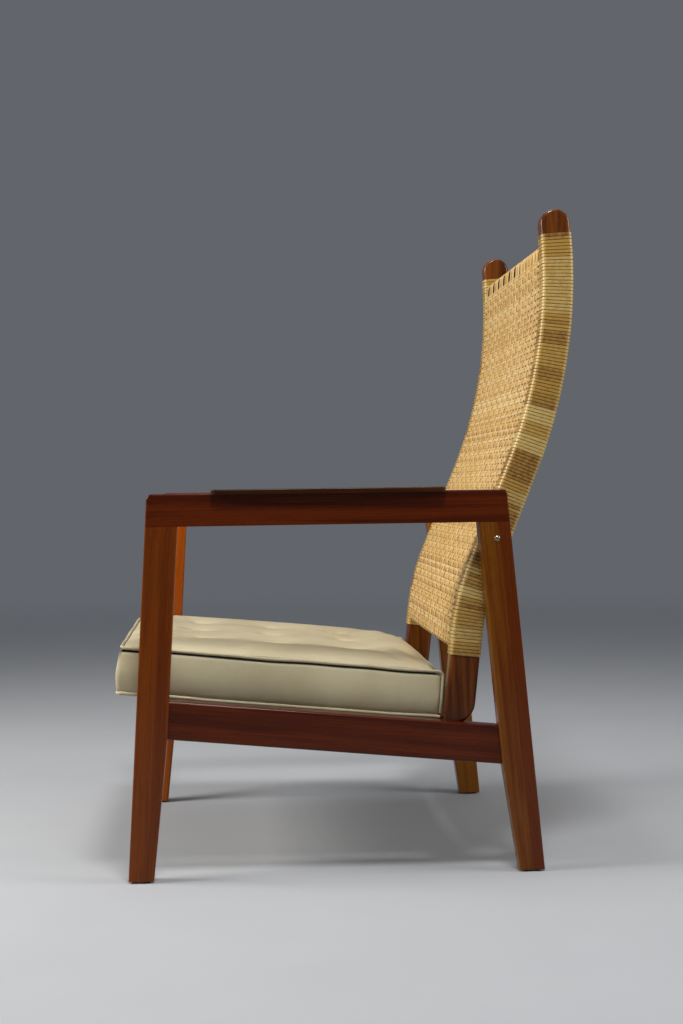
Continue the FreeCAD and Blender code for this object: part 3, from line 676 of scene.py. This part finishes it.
def back_line(along):
    """Middle of the back at a distance up its curve: how far back, how high, and its lean."""
    y, z = back_foot
    last = back_runs[-1]
    for run in back_runs:
        length, lean_from, lean_to = run[0], radians(run[1]), radians(run[2])
        part = along if run is last else min(along, length)
        if lean_from == lean_to:
            y += sin(lean_from) * part
            z += cos(lean_from) * part
            lean = lean_from
        else:
            turn = (lean_to - lean_from) / length
            lean = lean_from + turn * part
            y += (cos(lean_from) - cos(lean)) / turn
            z += (sin(lean) - sin(lean_from)) / turn
        along -= part
        if along <= 0:
            break
    return y, z, lean


def on_back(x, along, behind):
    """Point of the back across, up the curve, and behind its middle line."""
    y, z, lean = back_line(along)
    return Vector((x, y + cos(lean) * behind, z - sin(lean) * behind))


splay = Matrix.Translation((post_outer, 0, splay_height)) @ Matrix.Rotation(
    -radians(post_splay_deg), 4, "Y") @ Matrix.Translation((-post_outer, 0, -splay_height))


def turn_template():
    """One turn of flat cane as a ring: a low four-sided section spun round."""
    bm = bmesh.new()
    half = turn_width / 2
    crown = turn_rise * turn_crown_share
    shoulder = half * turn_shoulder_share
    section = ((turn_bed, -half), (crown, -shoulder), (crown, shoulder), (turn_bed, half))
    ring = [bm.verts.new((1 + rise, 0, along)) for rise, along in section]
    edges = [bm.edges.new(ends) for ends in zip(ring, ring[1:] + ring[:1])]
    bmesh.ops.spin(bm, geom=ring + edges, axis=(0, 0, 1), cent=(0, 0, 0), angle=tau,
                   steps=ring_steps, use_merge=True)
    bmesh.ops.remove_doubles(bm, verts=bm.verts, dist=1e-6)
    return mesh_of(bm)


def round_post(share, rise):
    """Place across and behind, and angle, for a share of the turn round a post and a rise off its wood."""
    step = round(share * ring_steps) % ring_steps
    corner, part = divmod(step, corner_steps + 1)
    angle = radians(90) * (corner + part / corner_steps)
    middle_x = (post_half_width - post_corner) * (1 if corner in (0, 3) else -1)
    middle_y = (post_half_depth - post_corner) * (1 if corner in (0, 1) else -1)
    reach = post_corner + rise
    return middle_x + cos(angle) * reach, middle_y + sin(angle) * reach, angle


def binding(side, first_strip):
    """Cane wound round a post to just under its domed end, in strips of a few turns each."""
    template = turn_template()
    bm = bmesh.new()
    strand = bm.verts.layers.float_vector.new("strand")
    corner_highlight = bm.verts.layers.float.new("corner_highlight")
    strip = first_strip
    for turn in range(int((binding_end - binding_start) / turn_pitch)):
        middle = binding_start + turn_pitch * (turn + 0.5)
        if chance.random() < new_strip_share:
            strip += 1
        tilt = chance.uniform(-turn_tilt, turn_tilt)
        swell = chance.uniform(*turn_swell_shares)
        start = len(bm.verts)
        bm.from_mesh(template)
        bm.verts.ensure_lookup_table()
        for vert in bm.verts[start:]:
            spun = atan2(vert.co.y, vert.co.x) / tau % 1.0
            rise = (hypot(vert.co.x, vert.co.y) - 1) * swell
            x, behind, angle = round_post(spun, rise)
            vert[strand] = ((turn + spun) * turn_length, vert.co.z / turn_width * 2, strip)
            # Painted highlight mask, strongest where the turn rounds a corner of the post
            vert[corner_highlight] = sin(2 * angle) ** 2
            along = middle + vert.co.z + tilt * sin(angle)
            place = splay @ on_back(post_middle + x, along, behind)
            vert.co = Vector((place.x * side, place.y, place.z))
    bpy.data.meshes.remove(template)
    return mesh_of(bm)


def strand_template(steps):
    """Straight flat strand of unit length: a six-sided bar cut into short lengths."""
    bm = bmesh.new()
    lying = Matrix.Translation((0.5, 0, 0)) @ Matrix.Rotation(radians(90), 4, "Y")
    bar = bmesh.ops.create_cone(bm, cap_ends=True, segments=6, radius1=1, radius2=1, depth=1, matrix=lying)
    long_edges = [edge for edge in bm.edges if abs(edge.verts[0].co.x - edge.verts[1].co.x) > 0.5]
    edge_up = Matrix.Rotation(radians(30), 3, "X")
    bmesh.ops.rotate(bm, verts=bar["verts"], cent=(0, 0, 0), matrix=edge_up)
    bmesh.ops.subdivide_edges(bm, edges=long_edges, cuts=steps - 1)
    return mesh_of(bm)


def lay_strand(bm, strand, template, path, width, thickness, count):
    """Bend a straight strand along a path of (x, along, behind) places, with its sharp edges to the sides."""
    steps = len(path) - 1
    start = len(bm.verts)
    bm.from_mesh(template)
    bm.verts.ensure_lookup_table()
    for vert in bm.verts[start:]:
        step = round(vert.co.x * steps)
        before = path[max(step - 1, 0)]
        after = path[min(step + 1, steps)]
        here = path[step]
        ahead = (on_back(*after) - on_back(*before)).normalized()
        if abs(ahead.x) < across_share:
            across_axis = Vector((1, 0, 0))
        else:
            lean = back_line(here[1])[2]
            across_axis = Vector((0, sin(lean), cos(lean)))
        out = ahead.cross(across_axis).normalized()
        across_axis = out.cross(ahead).normalized()
        side = vert.co.z
        rise = vert.co.y * thickness / 2 * strand_full_share
        vert[strand] = (step / steps * strand_length, side, count)
        vert.co = on_back(*here) + across_axis * (side * width / 2) + out * rise


def half_width_at(along):
    """Distance from the middle of the chair to the bound post's inner face."""
    z = back_line(along)[1]
    splayed = tan(radians(post_splay_deg)) * (z - splay_height)
    return post_outer - post_half_width * 2 - turn_rise - splayed


def row_along(row):
    return binding_start + row_pitch * (row_first + row + 0.5)


def warp_x(column, along):
    return column / warp_last * (half_width_at(along) - warp_margin)


def rail_slant(along):
    """Share of the slant that strands take as they go up the top rail."""
    return ease(along - weave_end + slant_lead, top_turn + turn_reach - weave_end + slant_lead)


def looseness(x, along):
    """How far the pairs are drawn together between the uprights: most beside the left post, half way up."""
    near_left = ease(x - loose_from, loose_run)
    above = ease(along - loose_low, loose_low_run)
    below = ease(loose_high - along, loose_high_run)
    return least_loose_share + added_loose_share * near_left * (above * below)


def weft_path(row, offset):
    """A strand across the back, over and under the upright pairs, tucked in under the binding."""
    middle = row_along(row)
    along = middle + offset
    reach = half_width_at(along) + weft_tuck
    pitch = warp_x(1, along)
    tuck_level = weft_thickness / 2 + turn_bed - turn_rise - post_half_depth
    path = []
    for step in range(weft_steps + 1):
        x = mixed(-reach, reach, step / weft_steps)
        wave = cos(pi * (x / pitch + row)) * weave_wave
        near_post = ease(abs(x) - reach + tuck_inset, tuck_run)
        by_post = exp(-((abs(x) - reach + post_pinch_inset) / post_pinch_spread) ** 2)
        by_post *= left_pinch_share if x > 0 else right_pinch_share
        pinch = max(by_post, looseness(x, middle) * sin(pi * x / pitch) ** pinch_power)
        level = mixed(weave_middle - wave, tuck_level, near_post)
        path.append((x, middle + offset * (1 - pinch), level + copysign(pinch_lift * pinch, offset)))
    return path


def warp_path(column, offset):
    """An upright strand: up behind the bottom rail, woven up the front, slanted over the top rail, down."""
    path = []

    def add(along, behind):
        path.append((warp_x(column, along) + offset + rail_slant(along) * top_slant, along, behind))

    middle = (rail_back + weave_middle) / 2
    swing = (rail_back - weave_middle) / 2
    woven_to = weave_end + warp_overrun
    angles = [pi * step / turn_steps for step in range(turn_steps + 1)]
    add(low_turn + warp_tail, rail_back)
    for angle in angles:
        add(low_turn - sin(angle) * turn_reach, middle + cos(angle) * swing)
    total = row_count * warp_steps_per_row
    for step in range(1, total):
        along = mixed(low_turn, woven_to, step / total)
        row = (along - row_along(0)) / row_pitch
        wave = cos(pi * (row + column))
        wave = copysign(abs(wave) ** warp_wave_power, wave) * weave_wave
        fade = ease(along - low_turn, warp_fade) * ease(woven_to - along, warp_fade)
        add(along, weave_middle + wave * fade)
    for angle in angles:
        add(top_turn + sin(angle) * turn_reach, middle - cos(angle) * swing)
    add(top_turn - warp_tail, rail_back)
    return path


def rail_turn_path(x, middle):
    """One turn of cane round a rail of the back."""
    low, high = middle - rail_half_height, middle + rail_half_height
    cut = rail_corner_cut
    loop = ((low + cut, rail_front), (middle, rail_front), (high - cut, rail_front), (high, rail_front + cut),
            (high, rail_back - cut), (high - cut, rail_back), (low + cut, rail_back), (low, rail_back - cut),
            (low, rail_front + cut), (low + cut, rail_front))
    return [(x + rail_slant(along) * top_slant, along, behind) for along, behind in loop]


def rail_turns(middle, slotted):
    """Places across the back of the turns between one upright pair and the next, some left out as slots."""
    places = []
    spare = 0.5 * (warp_width + rail_turn_width) + warp_spread
    for column in range(-warp_last, warp_last):
        start, end = warp_x(column, middle) + spare, warp_x(column + 1, middle) - spare
        if slotted and column % 2 and start < slot_reach:
            continue
        places += [start, (start + end) / 2, end]
    outer = warp_x(warp_last, middle) + spare
    return [-outer] + places + [outer]


def woven(runs, first_count):
    """Mesh of strands, each laid along its path, from runs of (paths, width, thickness)."""
    bm = bmesh.new()
    strand = bm.verts.layers.float_vector.new("strand")
    count = first_count
    for paths, width, thickness in runs:
        template = strand_template(len(paths[0]) - 1)
        for path in paths:
            lay_strand(bm, strand, template, path, width, thickness, count)
            count += 1
        bpy.data.meshes.remove(template)
    return mesh_of(bm)


def weave_across():
    wefts = [weft_path(row, offset) for row in range(row_count) for offset in (-weft_spread, weft_spread)]
    rails = ((rail_top_middle, True), (rail_low_middle, False))
    turns = [rail_turn_path(x, middle) for middle, slotted in rails for x in rail_turns(middle, slotted)]
    runs = ((wefts, weft_width, weft_thickness), (turns, rail_turn_width, weft_thickness))
    return woven(runs, first_count=0)


def weave_up():
    warps = [warp_path(column, offset) for column in range(-warp_last, warp_last + 1)
             for offset in (-warp_spread, warp_spread)]
    return woven(((warps, warp_width, warp_thickness),), first_count=500)


for side, label, first_strip in ((1, "left", 1000), (-1, "right", 2000)):
    piece("cane_binding_" + label, binding(side, first_strip), binding_cane, "frame",
          ("cane_wrap_" + label,))
piece("cane_weave_across", weave_across(), weave_cane, "frame", ("cane_panel",))
piece("cane_weave_up", weave_up(), weave_cane, "frame")


# Cushion

def seam_wave(run):
    """Slight wander of a sewn edge, up and out, at a distance along it."""
    up, out = (sum(height * sin(run * rate + start) for height, rate, start in waves)
               for waves in (seam_waves_up, seam_waves_out))
    return up, out


def sag_at(s):
    """How far the seat gives between its front and rear rails."""
    return seat_sag * ease(s - sag_from, sag_run) * ease(sag_to - s, sag_run)


def rear_round(s):
    """How far the rear edge has rolled over, from none to full."""
    return ease(s - (cushion_rear - rear_roll_run), rear_roll_run)


def rise_from_seam(distance):
    """Share of the crown at a distance from a seam: steep at first, then easing off."""
    lip = lip_share * ease(distance, lip_run)
    return lip + dome_share * ease(distance - dome_start, dome_run)


def crown_at(x, s):
    """Height of the top over its seams before the stuffing pushes it out."""
    across = rise_from_seam(cushion_half_width - abs(x))
    front = rise_from_seam(s - cushion_front)
    rear = 1 - ease(s - (cushion_rear - rear_fall_run), rear_fall_run) ** rear_fall_power
    lower_front = mixed(front_crown_share, 1.0, ease(s - cushion_front, front_crown_run))
    return cushion_crown * across * front * rear * lower_front


def lean_in(level, top_lean):
    """How far a side leans in above and below its fullest height."""
    above = top_lean * ease(level - lean_above_share, 1 - lean_above_share)
    below = low_lean * ease(lean_below_share - level, lean_below_share)
    return above + below


def from_tuft(x, s):
    """Distance to the nearest tuft."""
    return min(hypot(x - column, s - row) for column, row in tuft_places)


def dimple_at(x, s):
    """Depth to which the nearest tuft pulls the top down."""
    return tuft_depth * exp(-(from_tuft(x, s) / tuft_spread) ** tuft_power)


def cushion_block():
    """Box of the cushion's size, cut into small faces."""
    bm = bmesh.new()
    bmesh.ops.create_cube(bm, size=1.0)
    size = (cushion_half_width * 2, cushion_rear - cushion_front, cushion_tall)
    middle = Vector((0, (cushion_rear + cushion_front) / 2, (cushion_high + cushion_low) / 2))
    bmesh.ops.scale(bm, verts=bm.verts, vec=size)
    bmesh.ops.translate(bm, verts=bm.verts, vec=middle)
    for axis, cuts in enumerate((cuts_across, cuts_along, cuts_up)):
        along = []
        for edge in bm.edges:
            step = edge.verts[0].co - edge.verts[1].co
            if abs(step[axis]) > 1e-6 and abs(step[axis]) > step.length * 0.99:
                along.append(edge)
        bmesh.ops.subdivide_edges(bm, edges=along, cuts=cuts, use_grid_fill=True)
    for vert in bm.verts:
        share = abs(vert.co.x) / cushion_half_width
        if share < inner_share:
            spaced = share / inner_share * inner_width
        else:
            spaced = mixed(inner_width, cushion_half_width, (share - inner_share) / (1 - inner_share))
        vert.co.x = copysign(spaced, vert.co.x)
    return bm


def shape_cushion(bm, seam):
    """Draw the seams in, crown the top and pull the tufts down. Returns the points that are sewn down."""
    sewn = []
    for vert in bm.verts:
        x, s, h = vert.co
        on_side = abs(abs(x) - cushion_half_width) < touch
        on_front = abs(s - cushion_front) < touch
        on_rear = abs(s - cushion_rear) < touch
        on_top = abs(h - cushion_high) < touch
        on_bottom = abs(h - cushion_low) < touch
        sign = 1 if x > 0 else -1
        even = (h - cushion_low) / cushion_tall
        level = mixed(even, 0.5 - 0.5 * cos(pi * even), level_ease_share)
        new = Vector((x, s, cushion_low + cushion_tall * level))
        held = on_bottom or on_top and from_tuft(x, s) < tuft_hold
        if on_bottom:
            new.z -= sag_at(s)
        if on_top:
            new.z += crown_at(x, s) - dimple_at(x, s) - rear_drop * rear_round(s) ** 2
        swell = sin(pi * level)
        above = cushion_tall * level
        below = cushion_tall * (1 - level)
        groove = seam_draw * exp(-(below / groove_height) ** 2)
        lip = low_draw * exp(-(above / groove_height) ** 2)
        up, out = seam_wave(s if on_side else x)
        if on_side:
            new.x += sign * (side_swell * swell - groove - lip + out * level - lean_in(level, side_lean))
        if on_front:
            new.y += groove + lip - front_swell * swell + lean_in(level, front_lean)
        if on_rear:
            new.y -= rear_lean * ease(level - rear_lean_share, 1 - rear_lean_share) ** 2
        if on_side or on_front:
            # Painted shadow in a strip just under the top seam, where the welt shades the groove
            vert[seam] = 1.0 if below < seam_shadow_height else 0.0
            held = held or on_top or min(above, below) < groove_reach
            if on_top:
                new.z = cushion_high - seam_drop + up
            elif below < groove_reach:
                new.z += up - seam_drop * (1 - below / groove_reach)
            elif above < groove_reach:
                new.z -= sag_at(s)
        if on_side and on_rear:
            new.x = sign * (cushion_half_width - low_draw - lean_in(level, side_lean))
            new.y = cushion_rear - low_draw
            # Painted shadow down the rear corner seams
            vert[seam] = 1.0
            held = True
        if on_side and on_front and not (on_top or on_bottom):
            new.x -= sign * corner_tuck
            new.y += corner_tuck
            held = True
        if held:
            sewn.append(vert.index)
        vert.co = new
    return sewn


def fold_tufts(mesh):
    """A tight pull at each tuft, with short folds of gathered leather that run out from it."""
    for vert in mesh.vertices:
        x, s, h = vert.co
        if h < cushion_high:
            continue
        for number, (column, row) in enumerate(tuft_places):
            distance = hypot(x - column, s - row)
            if distance < fold_reach * 2:
                angle = atan2(s - row, x - column)
                fade = exp(-(distance / fold_reach) ** 2) * min(distance / fold_start, 1.0)
                pull = pull_depth * exp(-(distance / pull_spread) ** 2)
                vert.co.z += fold_height * fade * sin(folds_each * angle + fold_turn * number) - pull


def slack_at(place):
    """Share of the stuffing's reach that the cover can give, little beside the seams of the top."""
    if place.z < cushion_high - seam_draw:
        return side_slack_share
    beside = min(cushion_half_width - abs(place.x), place.y - cushion_front)
    return mixed(seam_slack_share, middle_slack_share, ease(beside - slack_start, slack_run))


def stuff(cushion, sewn):
    """Blow the cover out against its seams and tufts, each point within reach of where it began."""
    pins = cushion.vertex_groups.new(name="sewn")
    pins.add(sewn, 1.0, "REPLACE")
    filling = cushion.modifiers.new("filling", "CLOTH")
    for key, value in cover_cloth.items():
        setattr(filling.settings, key, value)
    filling.settings.vertex_group_mass = "sewn"
    filling.settings.effector_weights.gravity = 0
    filling.point_cache.frame_start = 1
    filling.point_cache.frame_end = stuffing_frames
    for number in range(1, stuffing_frames + 1):
        scene.frame_set(number)
    settled = cushion.evaluated_get(bpy.context.evaluated_depsgraph_get()).data
    for vert, swollen in zip(cushion.data.vertices, settled.vertices):
        move = swollen.co - vert.co
        most = stuffing_reach * slack_at(vert.co)
        if move.length > most:
            move *= most / move.length
        vert.co = vert.co + move
    cushion.modifiers.remove(filling)
    cushion.vertex_groups.remove(pins)
    scene.frame_set(1)


def cushion_cover():
    bm = cushion_block()
    bm.verts.index_update()
    sewn = shape_cushion(bm, bm.verts.layers.float.new("seam"))
    mesh = mesh_of(bm, turned_out=True)
    cushion = bpy.data.objects.new("cushion_cover_leather", mesh)
    scene.collection.objects.link(cushion)
    stuff(cushion, sewn)
    soften = cushion.modifiers.new("soften", "SUBSURF")
    soften.levels = 1
    soften.render_levels = 1
    softened = bpy.data.meshes.new_from_object(cushion.evaluated_get(bpy.context.evaluated_depsgraph_get()))
    bpy.data.objects.remove(cushion)
    bpy.data.meshes.remove(mesh)
    fold_tufts(softened)
    softened.transform(on_seat)
    made = piece("cushion_cover_leather", softened, cover_leather, "cushion",
                 ("cushion_cover", "cushion_foam", "tuft_ties"), sharp_deg=60)


def rounded_run(corners):
    """Points along straight runs joined by round bends."""
    points = [corners[0]]
    for before, corner, after in zip(corners, corners[1:], corners[2:]):
        start = corner + (before - corner).normalized() * welt_bend
        end = corner + (after - corner).normalized() * welt_bend
        for step in range(welt_bend_steps + 1):
            share = step / welt_bend_steps
            points.append(start.lerp(corner, share).lerp(corner.lerp(end, share), share))
    points.append(corners[-1])
    filled = [points[0]]
    for before, after in zip(points, points[1:]):
        parts = max(1, round((after - before).length / welt_pitch))
        for part in range(1, parts + 1):
            filled.append(before.lerp(after, part / parts))
    return filled


def welts():
    """Piping along the sewn edges: round the top and down the rear corners, and round the bottom."""
    x = cushion_half_width - welt_inset
    rear = cushion_rear - welt_inset
    high = cushion_high - top_welt_drop
    low = cushion_low + welt_inset
    rear_low = low + low_welt_radius * 2
    top_front = cushion_front + front_lean + welt_inset
    low_front = cushion_front + low_lean + welt_inset

    def lean(point, amount):
        point.x -= copysign(amount, point.x) * min(1.0, abs(point.x) / x) ** welt_side_power

    run_top = rounded_run([Vector(place) for place in (
        (x, rear, rear_low), (x, rear, high), (x, top_front, high),
        (-x, top_front, high), (-x, rear, high), (-x, rear, rear_low))])
    for point in run_top:
        on_front = point.y < cushion_front + front_lean + welt_front_reach
        up, out = seam_wave(point.x if on_front else point.y)
        lean(point, lean_in((point.z - cushion_low) / cushion_tall, side_lean))
        if point.z > high - welt_top_reach:
            point.z += up
            if not on_front:
                point.x += copysign(out, point.x)
    run_bottom = rounded_run([Vector(place) for place in (
        (x, rear, low), (x, low_front, low), (-x, low_front, low), (-x, rear, low))])
    for point in run_bottom:
        lean(point, low_lean)
        point.z -= sag_at(point.y)
    for label, run, radius in (("top", run_top, top_welt_radius), ("bottom", run_bottom, low_welt_radius)):
        mesh = tube(run, radius)
        mesh.transform(on_seat)
        node = "cushion_" + label + "_welt"
        piece("cushion_welt_" + label, mesh, welt_leather, "cushion", (node,))


def corner_stitches():
    """Stitches down the upright seams at the cushion's front corners."""
    bm = bmesh.new()
    for sign in (-1, 1):
        for number in range(int((cushion_tall - stitch_ends) / stitch_pitch)):
            h = cushion_low + stitch_start + stitch_pitch * (number + 0.5)
            level = (h - cushion_low) / cushion_tall
            for offset in (-stitch_offset, stitch_offset):
                x = sign * (cushion_half_width - stitch_inset + min(offset, 0) - lean_in(level, side_lean))
                s = cushion_front + stitch_inset + max(offset, 0) + lean_in(level, front_lean)
                place = Matrix.Translation((x, s, h)) @ Matrix.Diagonal(stitch_size)
                bmesh.ops.create_icosphere(bm, subdivisions=1, radius=1, matrix=place)
    mesh = mesh_of(bm)
    mesh.transform(on_seat)
    piece("cushion_corner_stitches", mesh, thread, "cushion", sharp_deg=80)


cushion_cover()
welts()
corner_stitches()


# Webbing

def is_lengthwise(edge):
    return abs(edge.verts[0].co.y - edge.verts[1].co.y) > long_edge


def straps():
    """Rubber webbing stretched from rail to rail, a little slack in the middle."""
    bm = bmesh.new()
    for place in strap_places:
        middle = Matrix.Translation((place, (strap_front + strap_rear) / 2, -strap_thickness / 2))
        size = Matrix.Diagonal((strap_width, strap_rear - strap_front, strap_thickness, 1))
        corners = bmesh.ops.create_cube(bm, size=1.0, matrix=middle @ size)["verts"]
        sides = {edge for vert in corners for edge in vert.link_edges if is_lengthwise(edge)}
        bmesh.ops.bevel(bm, geom=list(sides), offset=strap_edge, offset_type="OFFSET", segments=2,
                        profile=0.5, affect="EDGES", material=-1)
    lengthwise = [edge for edge in bm.edges if is_lengthwise(edge)]
    bmesh.ops.subdivide_edges(bm, edges=lengthwise, cuts=strap_cuts, use_grid_fill=True)
    for vert in bm.verts:
        vert.co.z -= sag_at(vert.co.y)
    mesh = mesh_of(bm)
    mesh.transform(on_seat)
    piece("webbing_straps_rubber", mesh, strap_webbing, "frame", ("webbing_straps",))


straps()


# Floor, light and camera

def floor():
    """Pale floor that fades into the backdrop far from the chair."""
    bm = bmesh.new()
    bmesh.ops.create_circle(bm, cap_ends=True, segments=96, radius=floor_radius)
    mesh = mesh_of(bm)
    material, board, shader = new_material("pale_floor")
    place = object_place(board)
    colour = board.blend(board.noise(place, 6.0), (0.41, 0.42, 0.435, 1), (0.44, 0.45, 0.465, 1))
    shader.inputs["Roughness"].default_value = 0.75
    shader.inputs["Specular IOR Level"].default_value = 0.2
    distance = board.put("VectorMath", {0: place}, operation="LENGTH").outputs["Value"]
    backdrop = board.put("Emission", {"Color": backdrop_grey, "Strength": 1.0})
    fade = board.put("MixShader", {0: board.band(distance, floor_fade_from, floor_fade_to),
                                   1: shader.outputs[0], 2: backdrop.outputs[0]})
    surface = board.tree.nodes["Material Output"]
    board.join((colour, shader.inputs["Base Color"]), (fade.outputs[0], surface.inputs[0]))
    mesh.materials.append(material)
    ground = bpy.data.objects.new("floor", mesh)
    scene.collection.objects.link(ground)


def softbox(name, place, target, size, power, colour=(1, 1, 1)):
    lamp = bpy.data.lights.new(name, "AREA")
    lamp.shape = "DISK"
    lamp.size = size
    lamp.energy = power
    lamp.color = colour
    holder = bpy.data.objects.new(name, lamp)
    holder.location = place
    holder.rotation_euler = (Vector(target) - Vector(place)).to_track_quat("-Z", "Y").to_euler()
    scene.collection.objects.link(holder)


def sky():
    """Even grey light from a plain backdrop all round."""
    world = bpy.data.worlds.new("studio")
    scene.world = world
    world.use_nodes = True
    world.node_tree.nodes.clear()
    board = Board(world.node_tree)
    soft = board.put("Background", {"Color": backdrop_grey, "Strength": 1.0})
    surface = board.put("OutputWorld")
    board.join((soft.outputs[0], surface.inputs[0]))


def camera():
    """Camera where the photograph was taken: beside the chair, at the height of the arm."""
    place = (2.7137, arm_front + 0.1167, 0.58606)
    yaw = 0.073784
    pitch = -0.015334
    roll = -0.013843
    ahead = Vector((-cos(yaw) * cos(pitch), sin(yaw) * cos(pitch), sin(pitch)))
    right = Vector((sin(yaw), cos(yaw), 0))
    up = right.cross(ahead)
    right_rolled = right * cos(roll) + up * sin(roll)
    up_rolled = up * cos(roll) - right * sin(roll)
    lens = bpy.data.cameras.new("camera")
    lens.lens = 56.25
    lens.sensor_width = 36.0
    holder = bpy.data.objects.new("camera", lens)
    turn = Matrix((right_rolled, up_rolled, -ahead)).transposed().to_4x4()
    holder.matrix_world = Matrix.Translation(place) @ turn
    scene.collection.objects.link(holder)
    scene.camera = holder


floor()
sky()
softbox("key", place=(0.32, -2.3, 1.70), target=(0, 0, 0.5), size=1.3, power=74.0, colour=(1.0, 0.97, 0.93))
softbox("top", place=(1.25, 0.05, 2.7), target=(0, 0.05, 0.4), size=0.55, power=38.0)
softbox("far", place=(-0.9, 0.2, 2.6), target=(0, 0, 0.4), size=1.6, power=7.0)
softbox("rim", place=(0.9, 2.6, 1.7), target=(0, 0.2, 0.6), size=1.2, power=34.0)
camera()
scene.view_settings.view_transform = "Standard"
